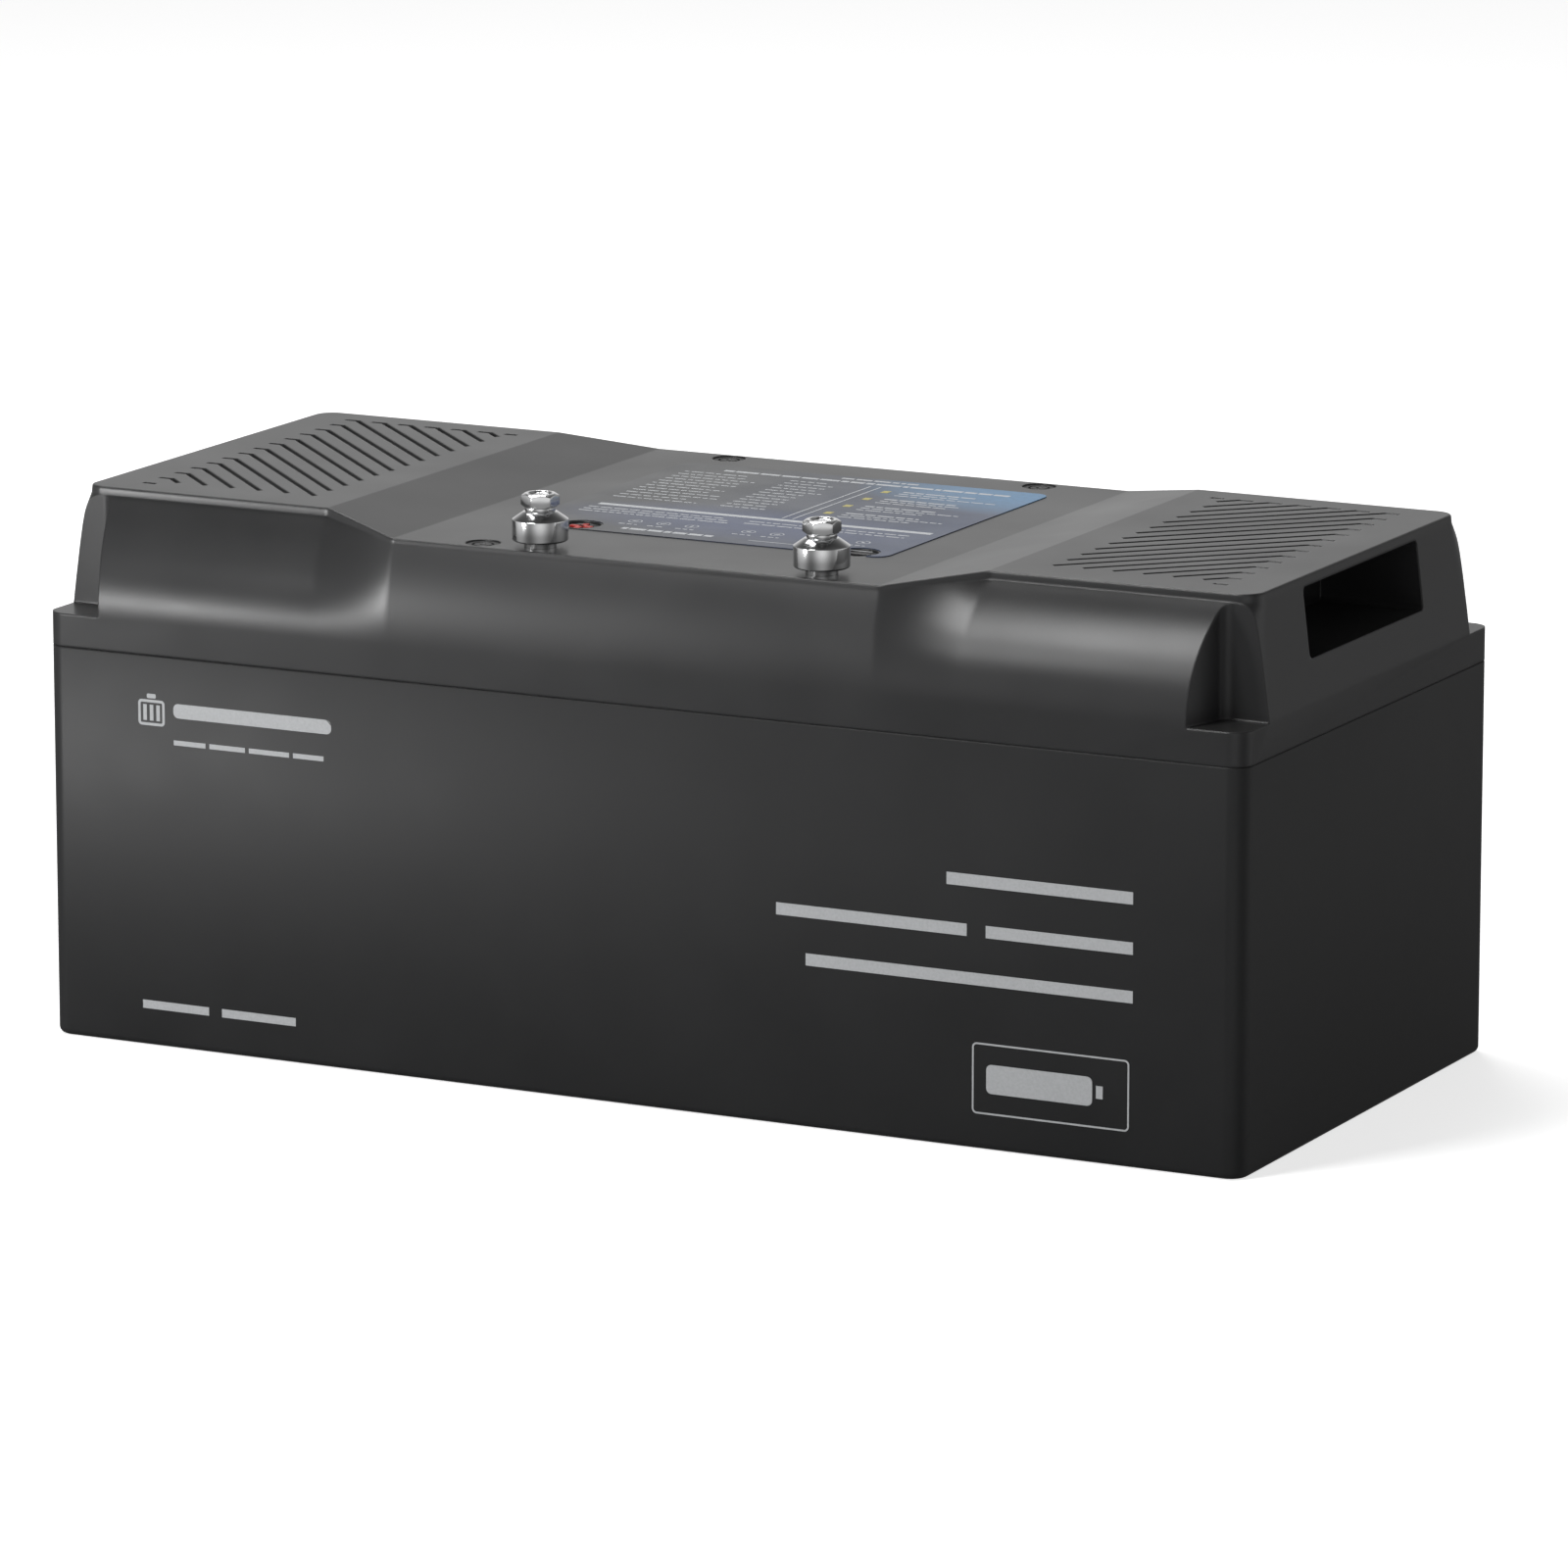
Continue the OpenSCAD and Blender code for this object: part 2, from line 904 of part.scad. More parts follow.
module heat_sink() {
    color("#aeb2b5")
        translate([tray_x, 0, sink_z]) {
            translate([-sink_l / 2, -sink_w / 2, 0])
                cube([sink_l, sink_w, 4]);
            for (i = [0:9])
                translate([-sink_l / 2, -sink_w / 2 + i * (sink_w - 2) / 9, 4 - eps])
                    cube([sink_l, 2, sink_h - 4]);
        }
}

// ---------- cables ----------

function unit(v) = v / norm(v);

// Ring of points around p, in the plane across the direction d
function hoop(p, d, r, sides) =
    let (
        n = unit(d),
        u = unit(cross(n, abs(n[2]) < 0.9 ? [0, 0, 1] : [0, 1, 0])),
        v = cross(n, u)
    )
    [for (k = [0:sides - 1]) p + r * (u * cos(360 * k / sides) + v * sin(360 * k / sides))];

// Rounded route through a few points: each corner becomes a short curve
function curve_point(a, b, c, t) = (1 - t) * (1 - t) * a + 2 * t * (1 - t) * b + t * t * c;
function route(pts, steps) =
    let (n = len(pts))
    concat(
        [pts[0]],
        [
            for (i = [1:n - 2])
                let (before = (pts[i - 1] + pts[i]) / 2, after = (pts[i] + pts[i + 1]) / 2)
                for (k = [0:steps])
                    if (i == 1 || k > 0) curve_point(before, pts[i], after, k / steps)
        ],
        [pts[n - 1]]
    );

module sweep_tube(pts, r, sides) {
    n = len(pts);
    rings = [
        for (i = [0:n - 1])
            let (d = pts[min(i + 1, n - 1)] - pts[max(i - 1, 0)])
            each hoop(pts[i], d, r, sides)
    ];
    walls = [
        for (i = [0:n - 2], k = [0:sides - 1])
            let (a = i * sides + k, b = i * sides + (k + 1) % sides)
            each [[a, b, b + sides], [a, b + sides, a + sides]]
    ];
    first_cap = [for (k = [sides - 1:-1:0]) k];
    last_cap = [for (k = [0:sides - 1]) (n - 1) * sides + k];
    // the rings run clockwise seen from outside, so the walls are turned round
    turned = [for (f = concat(walls, [first_cap, last_cap])) [for (k = [len(f) - 1:-1:0]) f[k]]];
    polyhedron(points = rings, faces = turned);
}

bar_lug_z = bar_z + bar_t;
pos_bar = [cell_x(1.5), -stud_y + 20, bar_lug_z];
neg_bar = [cell_x(7.5), -stud_y + 20, bar_lug_z];
board_in = [tray_x + 80, -16, board_z + board_t];
board_out = [tray_x + 80, 14, board_z + board_t];
pos_lug = [pos_x, post_y, lug_z + lug_t];
neg_lug = [neg_x, post_y, lug_z + lug_t];
barrel_r = 5.2;
barrel_up = barrel_r + 0.2;
barrel_l = 13;
post_ring = 8;
bar_ring = 8;
board_ring = 6;
neg_turn = 45;
barrel_gap = 4;

// Ring tongue that lies flat, with a barrel that points along the given angle; side -1 hangs it upside down
module lug(turn, hole, ring_r, side = 1) {
    rotate([0, 0, turn])
        mirror([0, 0, side < 0 ? 1 : 0])
            difference() {
                union() {
                    cylinder(r = ring_r, h = lug_t);
                    translate([0, -4, 0])
                        cube([ring_r + barrel_gap + 1, 8, lug_t]);
                    translate([ring_r + barrel_gap, 0, barrel_up])
                        rotate([0, 90, 0])
                            cylinder(r = barrel_r, h = barrel_l);
                    translate([ring_r + barrel_gap - 3, -4, 0])
                        cube([3.5, 8, barrel_up]);
                }
                translate([0, 0, -1])
                    cylinder(r = hole, h = 20);
                translate([ring_r + 2 * barrel_gap, 0, barrel_up])
                    rotate([0, 90, 0])
                        cylinder(r = cable_r, h = 20);
            }
}

module cable_lugs() {
    color("#cdd0d2") {
        translate(pos_lug)
            lug(90, thread_r + 0.1, post_ring, -1);
        translate(neg_lug)
            lug(neg_turn, thread_r + 0.1, post_ring, -1);
        translate(pos_bar)
            lug(90, 3.2, bar_ring);
        translate(neg_bar)
            lug(90, 3.2, bar_ring);
        translate(board_in)
            lug(-90, 3.2, board_ring);
        translate(board_out)
            lug(90, 3.2, board_ring);
    }
}

// Where a cable enters a barrel, and a point straight out in front of it
function mouth(p, turn, ring_r, side, out) =
    p + (ring_r + 2 * barrel_gap + out) * [cos(turn), sin(turn), 0] + [0, 0, side * barrel_up];

positive_route = route([
    mouth(pos_bar, 90, bar_ring, 1, 0), mouth(pos_bar, 90, bar_ring, 1, 26), [-149, 26, 172],
    [-110, 10, 188], [pos_x - 8, -20, 192],
    mouth(pos_lug, 90, post_ring, -1, 24), mouth(pos_lug, 90, post_ring, -1, 0)
], 4);

negative_route = route([
    mouth(neg_bar, 90, bar_ring, 1, 0), mouth(neg_bar, 90, bar_ring, 1, 26), [150, 10, 170],
    [126, -56, 184], [tray_x + 80, -90, 176],
    mouth(board_in, -90, board_ring, 1, 26), mouth(board_in, -90, board_ring, 1, 0)
], 4);

output_route = route([
    mouth(board_out, 90, board_ring, 1, 0), mouth(board_out, 90, board_ring, 1, 20), [tray_x + 82, 62, 172],
    [118, 40, 194], [124, -20, 196],
    mouth(neg_lug, neg_turn, post_ring, -1, 30), mouth(neg_lug, neg_turn, post_ring, -1, 0)
], 4);

module positive_cable() {
    color("#b3261f")
        sweep_tube(positive_route, cable_r - 0.05, 10);
}

module cell_to_board_cable() {
    color("#1d1e20")
        sweep_tube(negative_route, cable_r - 0.05, 10);
}

module board_to_post_cable() {
    color("#1d1e20")
        sweep_tube(output_route, cable_r - 0.05, 10);
}

// White plug and socket on the edge of the board for the cell sense wires
socket_x = tray_x - 86;
module sense_socket() {
    color("#ece9df")
        translate([socket_x - 4, -16, board_z + board_t])
            cube([9, 32, 7]);
}

// Five thin wires, from the socket to one bar each
sense_ends = [
    [cell_x(1.5), -stud_y + 7], [cell_x(2.5), stud_y - 7], [cell_x(3.2), -stud_y + 7],
    [cell_x(6.5), stud_y - 7], [cell_x(7.5) - 14, -stud_y + 6]
];
module sense_harness() {
    color("#d9c23a")
        for (k = [0:4])
            let (y = -12 + 6 * k, e = sense_ends[k], away = socket_x - 18 - 3 * k)
            sweep_tube(
                k < 3
                    ? route([
                        [socket_x - 4, y, board_z + board_t + 3.5], [away, y, board_z + board_t + 3.5],
                        [away, e[1] * 0.8, 158], [e[0], e[1], 150], [e[0], e[1], bar_z + bar_t]
                    ], 3)
                    : route([
                        [socket_x - 4, y, board_z + board_t + 3.5], [away, y, board_z + board_t + 3.5],
                        [away, (k == 3 ? 1 : -1) * (56 + k), 141], [e[0], (k == 3 ? 1 : -1) * (56 + k), 141],
                        [e[0], e[1], bar_z + bar_t]
                    ], 3),
                wire_r, 6
            );
}

// Bead and lead of the sensor that watches the temperature of the middle cells
module temperature_probe() {
    color("#2b2b2b") {
        translate([0, 20, cell_top])
            cylinder(r = 3, h = 3);
        sweep_tube(
            route([
                [0, 20, cell_top + 2], [-4, 20, cell_top + 6], [-60, 20, cell_top + 5],
                [socket_x - 18, 17, cell_top + 8], [socket_x - 18, 15, board_z + board_t + 5.5],
                [socket_x - 4, 15, board_z + board_t + 5.5]
            ], 3),
            wire_r, 6
        );
    }
}

case();
lid();
lid_gasket();
lid_screws();
screw_plugs();
positive_post();
negative_post();
post_seals();
post_nuts();
positive_washer();
negative_washer();
positive_bolt();
negative_bolt();
positive_mark();
negative_mark();
top_label();
base_pad();
foam_front();
foam_back();
foam_left();
foam_right();
for (i = [1:8])
    cell(i);
cell_spacers();
end_plate_left();
end_plate_right();
pack_straps();
busbar_positive();
busbar_link_1();
busbar_link_2();
busbar_link_3();
busbar_negative();
busbar_nuts();
board_tray();
board_screws();
control_board();
heat_sink();
cable_lugs();
positive_cable();
cell_to_board_cable();
board_to_post_cable();
sense_harness();
sense_socket();
temperature_probe();
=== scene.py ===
import json
import math
import random

import bmesh
import bpy
from mathutils import Matrix, Vector


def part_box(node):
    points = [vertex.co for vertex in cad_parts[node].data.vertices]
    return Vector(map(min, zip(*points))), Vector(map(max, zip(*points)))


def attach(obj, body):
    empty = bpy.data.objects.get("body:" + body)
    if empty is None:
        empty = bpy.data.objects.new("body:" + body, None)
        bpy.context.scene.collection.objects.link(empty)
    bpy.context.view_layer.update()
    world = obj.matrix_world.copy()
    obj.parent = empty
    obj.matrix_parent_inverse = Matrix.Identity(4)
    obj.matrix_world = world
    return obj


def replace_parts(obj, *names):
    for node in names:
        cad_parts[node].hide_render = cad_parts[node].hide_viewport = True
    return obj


# Looks of a deep cycle battery: moulded case and lid, plated terminals, printed label and the parts inside.
# Sizes are written in millimetres and turned into metres by MM; places are in the frame of the CAD part.

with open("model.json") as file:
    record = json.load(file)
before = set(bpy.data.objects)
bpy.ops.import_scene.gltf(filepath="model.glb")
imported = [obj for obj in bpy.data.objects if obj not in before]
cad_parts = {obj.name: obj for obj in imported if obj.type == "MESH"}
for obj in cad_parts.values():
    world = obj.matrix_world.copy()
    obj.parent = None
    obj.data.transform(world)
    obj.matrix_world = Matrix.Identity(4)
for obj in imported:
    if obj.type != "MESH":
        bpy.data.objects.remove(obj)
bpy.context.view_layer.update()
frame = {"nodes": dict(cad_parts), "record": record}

MM = 0.001
BODY = "battery"
case_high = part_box("case")[1]
seam_z = case_high.z
mid_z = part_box("top_label")[0].z
half_l = case_high.x
half_w = case_high.y


# ---------- small helpers for pieces ----------

def finished(name, bm, finish, body=BODY, sharp=30.0):
    """Turns the worked mesh into a smooth-shaded piece that rides on its body."""
    mesh = bpy.data.meshes.new(name)
    bm.to_mesh(mesh)
    bm.free()
    mesh.shade_smooth()
    mesh.set_sharp_from_angle(angle=math.radians(sharp))
    mesh.materials.append(finish)
    piece = bpy.data.objects.new(name, mesh)
    bpy.context.scene.collection.objects.link(piece)
    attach(piece, body)
    return piece


def lathe(bm, outline, steps=96):
    """Turns an outline of (radius, height) points about the upright axis."""
    points = [bm.verts.new((r, 0, z)) for r, z in outline]
    lines = [bm.edges.new(pair) for pair in zip(points, points[1:])]
    bmesh.ops.spin(bm, geom=points + lines, cent=(0, 0, 0), axis=(0, 0, 1), angle=2 * math.pi,
                   steps=steps, use_merge=True)
    bmesh.ops.remove_doubles(bm, verts=bm.verts, dist=1e-7)
    bmesh.ops.recalc_face_normals(bm, faces=bm.faces)


def ease(bm, width, steps=2, angle=25.0, keep=lambda edge: True):
    """Rounds the edges that turn more sharply than angle."""
    limit = math.radians(angle)
    edges = [e for e in bm.edges if len(e.link_faces) == 2 and e.calc_face_angle(0) > limit and keep(e)]
    bmesh.ops.bevel(bm, geom=edges, offset=width, segments=steps, profile=0.5, affect="EDGES", material=-1,
                    clamp_overlap=True)


def slab(bm, centre, size, turn=0.0):
    """Adds a thin plate with its middle at centre."""
    place = Matrix.Translation(centre) @ Matrix.Rotation(turn, 4, "Z") @ Matrix.Diagonal((*size, 1))
    return bmesh.ops.create_cube(bm, size=1, matrix=place)["verts"]


# ---------- node helpers ----------

def add(tree, kind, **settings):
    made = tree.nodes.new(kind)
    for key, value in settings.items():
        setattr(made, key, value)
    return made


def feed(tree, value, socket):
    """Links a socket, or sets a plain value."""
    if isinstance(value, bpy.types.NodeSocket):
        tree.links.new(value, socket)
    else:
        socket.default_value = value


def calc(tree, operation, a, b=0.0, clamp=False):
    made = add(tree, "ShaderNodeMath", operation=operation, use_clamp=clamp)
    feed(tree, a, made.inputs[0])
    feed(tree, b, made.inputs[1])
    return made.outputs[0]


def blend_colour(tree, amount, a, b, mode="MIX"):
    made = add(tree, "ShaderNodeMix", data_type="RGBA", blend_type=mode)
    feed(tree, amount, made.inputs["Factor"])
    feed(tree, a, made.inputs[6])
    feed(tree, b, made.inputs[7])
    return made.outputs[2]


def rescale(tree, value, low, high, to_low, to_high):
    made = add(tree, "ShaderNodeMapRange", clamp=True)
    for socket, number in zip(made.inputs, (value, low, high, to_low, to_high)):
        feed(tree, number, socket)
    return made.outputs[0]


def noise(tree, where, scale, detail=3.0, rough=0.5):
    made = add(tree, "ShaderNodeTexNoise")
    feed(tree, where, made.inputs["Vector"])
    feed(tree, scale, made.inputs["Scale"])
    made.inputs["Detail"].default_value = detail
    made.inputs["Roughness"].default_value = rough
    return made.outputs[0]


def new_group(name, takes, gives):
    """An empty effect with named sockets: takes and gives are (name, kind, default) rows."""
    tree = bpy.data.node_groups.new(name, "ShaderNodeTree")
    kinds = {"value": "NodeSocketFloat", "colour": "NodeSocketColor", "vector": "NodeSocketVector"}
    for label, kind, default in takes:
        socket = tree.interface.new_socket(name=label, in_out="INPUT", socket_type=kinds[kind])
        if default is not None:
            socket.default_value = default
    for label, kind, _ in gives:
        tree.interface.new_socket(name=label, in_out="OUTPUT", socket_type=kinds[kind])
    return tree, add(tree, "NodeGroupInput"), add(tree, "NodeGroupOutput")


# ---------- shared effects ----------

def make_grain():
    """Moulded texture: fine pits over a coarser orange peel."""
    tree, takes, gives = new_group(
        "moulded_grain",
        [("Pit scale", "value", 1700.0), ("Peel scale", "value", 240.0), ("Peel share", "value", 0.35)],
        [("Height", "value", None)],
    )
    where = add(tree, "ShaderNodeTexCoord").outputs["Object"]
    pits = noise(tree, where, takes.outputs["Pit scale"], 2.0, 0.6)
    peel = noise(tree, where, takes.outputs["Peel scale"], 1.0)
    made = add(tree, "ShaderNodeMix", data_type="FLOAT")
    feed(tree, takes.outputs["Peel share"], made.inputs["Factor"])
    feed(tree, pits, made.inputs[2])
    feed(tree, peel, made.inputs[3])
    tree.links.new(made.outputs[0], gives.inputs["Height"])
    return tree


def make_edge_wear():
    """A mask that is strongest on outer edges and breaks up along them, and the eased normal itself."""
    tree, takes, gives = new_group(
        "edge_wear",
        [("Radius", "value", 0.0006), ("Amount", "value", 1.0), ("Break-up scale", "value", 90.0)],
        [("Mask", "value", None), ("Normal", "vector", None)],
    )
    eased = add(tree, "ShaderNodeBevel", samples=6)
    feed(tree, takes.outputs["Radius"], eased.inputs["Radius"])
    plain = add(tree, "ShaderNodeNewGeometry")
    turn = add(tree, "ShaderNodeVectorMath", operation="DOT_PRODUCT")
    tree.links.new(eased.outputs["Normal"], turn.inputs[0])
    tree.links.new(plain.outputs["Normal"], turn.inputs[1])
    off = rescale(tree, turn.outputs["Value"], 0.93, 0.7, 0.0, 1.0)
    where = add(tree, "ShaderNodeTexCoord").outputs["Object"]
    cloud = noise(tree, where, takes.outputs["Break-up scale"], 4.0, 0.65)
    patches = rescale(tree, cloud, 0.38, 0.62, 0.25, 1.0)
    mask = calc(tree, "MULTIPLY", calc(tree, "MULTIPLY", off, patches), takes.outputs["Amount"], clamp=True)
    tree.links.new(mask, gives.inputs["Mask"])
    tree.links.new(eased.outputs["Normal"], gives.inputs["Normal"])
    return tree


def make_dust():
    """Fine dust that settles in soft patches on faces that look up."""
    tree, takes, gives = new_group(
        "settled_dust",
        [("Amount", "value", 0.1), ("Patch scale", "value", 14.0)],
        [("Mask", "value", None)],
    )
    facing = add(tree, "ShaderNodeSeparateXYZ")
    tree.links.new(add(tree, "ShaderNodeTexCoord").outputs["Normal"], facing.inputs[0])
    up = rescale(tree, facing.outputs["Z"], 0.3, 0.95, 0.0, 1.0)
    where = add(tree, "ShaderNodeTexCoord").outputs["Object"]
    patches = rescale(tree, noise(tree, where, takes.outputs["Patch scale"], 5.0, 0.6), 0.35, 0.7, 0.15, 1.0)
    specks = rescale(tree, noise(tree, where, 2600.0, 1.0), 0.45, 0.75, 0.4, 1.0)
    mask = calc(tree, "MULTIPLY", calc(tree, "MULTIPLY", up, patches), specks)
    tree.links.new(calc(tree, "MULTIPLY", mask, takes.outputs["Amount"]), gives.inputs["Mask"])
    return tree


def make_handling():
    """Soft cloudy change in gloss, as left by handling and by the mould."""
    tree, takes, gives = new_group(
        "handling_marks",
        [("Roughness", "value", 0.4), ("Spread", "value", 0.06), ("Cloud scale", "value", 22.0)],
        [("Roughness", "value", None), ("Cloud", "value", None)],
    )
    where = add(tree, "ShaderNodeTexCoord").outputs["Object"]
    cloud = rescale(tree, noise(tree, where, takes.outputs["Cloud scale"], 2.0, 0.5), 0.0, 1.0, -1.0, 1.0)
    change = calc(tree, "MULTIPLY", cloud, takes.outputs["Spread"])
    varied = calc(tree, "ADD", takes.outputs["Roughness"], change, clamp=True)
    tree.links.new(varied, gives.inputs["Roughness"])
    tree.links.new(cloud, gives.inputs["Cloud"])
    return tree


def make_brushing():
    """Fine lines from drawing, rolling or turning, along one axis."""
    tree, takes, gives = new_group(
        "tool_lines",
        [("Along", "vector", (60.0, 3000.0, 3000.0))],
        [("Height", "value", None)],
    )
    where = add(tree, "ShaderNodeTexCoord").outputs["Object"]
    stretch = add(tree, "ShaderNodeVectorMath", operation="MULTIPLY")
    tree.links.new(where, stretch.inputs[0])
    tree.links.new(takes.outputs["Along"], stretch.inputs[1])
    tree.links.new(noise(tree, stretch.outputs[0], 1.0, 3.0, 0.6), gives.inputs["Height"])
    return tree


GRAIN = make_grain()
EDGE_WEAR = make_edge_wear()
DUST = make_dust()
HANDLING = make_handling()
BRUSHING = make_brushing()
DUST_COLOUR = (0.42, 0.41, 0.39, 1.0)


# ---------- finishes ----------

def place_effect(tree, effect, **values):
    made = add(tree, "ShaderNodeGroup", node_tree=effect)
    for label, value in values.items():
        feed(tree, value, made.inputs[label.replace("_", " ")])
    return made


def start_finish(name):
    made = bpy.data.materials.new(name)
    made.use_nodes = True
    return made, made.node_tree, made.node_tree.nodes["Principled BSDF"]


def tint(colour, share):
    return (*[min(1.0, c * share) for c in colour], 1.0)


def moulded(name, colour, roughness, grain=0.3, pit=1700.0, wear_and_highlight=0.5, radius=0.5, dust=0.08, gloss=0.5):
    """Moulded plastic or rubber, with grain, eased edges, a little dust, and edges painted lighter, partly
    as rubbed wear and partly as a painted highlight along them.
    """
    made, tree, shader = start_finish(name)
    edges = place_effect(tree, EDGE_WEAR, Radius=radius * MM, Amount=wear_and_highlight)
    marks = place_effect(tree, HANDLING, Roughness=roughness, Spread=0.05)
    dirt = place_effect(tree, DUST, Amount=dust)
    body = blend_colour(tree, rescale(tree, marks.outputs["Cloud"], -1.0, 1.0, 0.0, 1.0),
                        tint(colour, 0.9), tint(colour, 1.12))
    # edges painted lighter: part rubbed wear, part painted highlight standing in for thin light lines along
    # the edges
    worn_and_highlit = blend_colour(tree, edges.outputs["Mask"], body, (*[0.25 * c + 0.07 for c in colour], 1.0))
    dusted = blend_colour(tree, dirt.outputs["Mask"], worn_and_highlit, DUST_COLOUR)
    tree.links.new(dusted, shader.inputs["Base Color"])
    dulled = calc(tree, "MULTIPLY", dirt.outputs["Mask"], 0.5)
    rough = calc(tree, "ADD", marks.outputs["Roughness"], dulled, clamp=True)
    tree.links.new(rough, shader.inputs["Roughness"])
    shader.inputs["Specular IOR Level"].default_value = gloss
    bump = add(tree, "ShaderNodeBump")
    bump.inputs["Strength"].default_value = grain
    bump.inputs["Distance"].default_value = 0.00012
    tree.links.new(place_effect(tree, GRAIN, Pit_scale=pit).outputs["Height"], bump.inputs["Height"])
    tree.links.new(edges.outputs["Normal"], bump.inputs["Normal"])
    tree.links.new(bump.outputs["Normal"], shader.inputs["Normal"])
    return made


def metal(name, colour, roughness, lines=(60.0, 3000.0, 3000.0), depth=0.08, tarnish=0.12):
    """Plated, drawn or milled metal with tool lines, faint tarnish and bright edges."""
    made, tree, shader = start_finish(name)
    edges = place_effect(tree, EDGE_WEAR, Radius=0.25 * MM, Amount=0.3)
    marks = place_effect(tree, HANDLING, Roughness=roughness, Spread=roughness * 0.35, Cloud_scale=180.0)
    body = blend_colour(tree, rescale(tree, marks.outputs["Cloud"], -1.0, 1.0, 0.0, tarnish * 2),
                        tint(colour, 1.0), tint(colour, 0.6))
    rubbed = blend_colour(tree, edges.outputs["Mask"], body, tint(colour, 1.25))
    tree.links.new(rubbed, shader.inputs["Base Color"])
    tree.links.new(marks.outputs["Roughness"], shader.inputs["Roughness"])
    shader.inputs["Metallic"].default_value = 1.0
    bump = add(tree, "ShaderNodeBump")
    bump.inputs["Strength"].default_value = depth
    bump.inputs["Distance"].default_value = 0.00005
    tree.links.new(place_effect(tree, BRUSHING, Along=lines).outputs["Height"], bump.inputs["Height"])
    tree.links.new(edges.outputs["Normal"], bump.inputs["Normal"])
    tree.links.new(bump.outputs["Normal"], shader.inputs["Normal"])
    return made


def printed_film(name):
    """Label film: grey at the left, fading to blue at the back right and front centre."""
    made, tree, shader = start_finish(name)
    split = add(tree, "ShaderNodeSeparateXYZ")
    tree.links.new(add(tree, "ShaderNodeTexCoord").outputs["Object"], split.inputs[0])
    x, y = split.outputs["X"], split.outputs["Y"]

    def glow(at_x, at_y, wide, deep):
        dx = calc(tree, "DIVIDE", calc(tree, "SUBTRACT", x, at_x * MM), wide * MM)
        dy = calc(tree, "DIVIDE", calc(tree, "SUBTRACT", y, at_y * MM), deep * MM)
        reach = calc(tree, "ADD", calc(tree, "MULTIPLY", dx, dx), calc(tree, "MULTIPLY", dy, dy))
        return rescale(tree, reach, 0.0, 1.0, 1.0, 0.0)

    ground = (0.02, 0.022, 0.026, 1.0)
    across = rescale(tree, x, -0.05, 0.085, 0.0, 1.0)
    deep_blue = blend_colour(tree, calc(tree, "MULTIPLY", across, 0.75), ground, (0.018, 0.045, 0.13, 1.0))
    front_glow = calc(tree, "MULTIPLY", glow(0, -22, 85, 34), 0.6)
    front = blend_colour(tree, front_glow, deep_blue, (0.022, 0.05, 0.17, 1.0))
    back = blend_colour(tree, glow(82, 82, 80, 46), front, (0.06, 0.22, 0.42, 1.0))
    specks = rescale(tree, noise(tree, add(tree, "ShaderNodeTexCoord").outputs["Object"], 420.0, 4.0, 0.7),
                     0.35, 0.75, 0.85, 1.2)
    shade = blend_colour(tree, 1.0, back, specks, "MULTIPLY")
    dirt = place_effect(tree, DUST, Amount=0.05)
    tree.links.new(blend_colour(tree, dirt.outputs["Mask"], shade, DUST_COLOUR), shader.inputs["Base Color"])
    marks = place_effect(tree, HANDLING, Roughness=0.3, Spread=0.06, Cloud_scale=40.0)
    tree.links.new(marks.outputs["Roughness"], shader.inputs["Roughness"])
    bump = add(tree, "ShaderNodeBump")
    bump.inputs["Strength"].default_value = 0.12
    bump.inputs["Distance"].default_value = 0.0001
    tree.links.new(place_effect(tree, GRAIN, Pit_scale=1200.0).outputs["Height"], bump.inputs["Height"])
    tree.links.new(bump.outputs["Normal"], shader.inputs["Normal"])
    return made


def ink(name, colour, roughness=0.5):
    """Screen printing ink with tiny gaps where it is thin."""
    made, tree, shader = start_finish(name)
    where = add(tree, "ShaderNodeTexCoord").outputs["Object"]
    thin = rescale(tree, noise(tree, where, 900.0, 4.0, 0.7), 0.3, 0.6, 0.7, 1.0)
    cloud = place_effect(tree, HANDLING, Roughness=roughness, Spread=0.08, Cloud_scale=60.0)
    shade = blend_colour(tree, thin, tint(colour, 0.55), tint(colour, 1.0))
    tree.links.new(shade, shader.inputs["Base Color"])
    tree.links.new(cloud.outputs["Roughness"], shader.inputs["Roughness"])
    bump = add(tree, "ShaderNodeBump")
    bump.inputs["Strength"].default_value = 0.1
    bump.inputs["Distance"].default_value = 0.00005
    tree.links.new(thin, bump.inputs["Height"])
    tree.links.new(bump.outputs["Normal"], shader.inputs["Normal"])
    return made


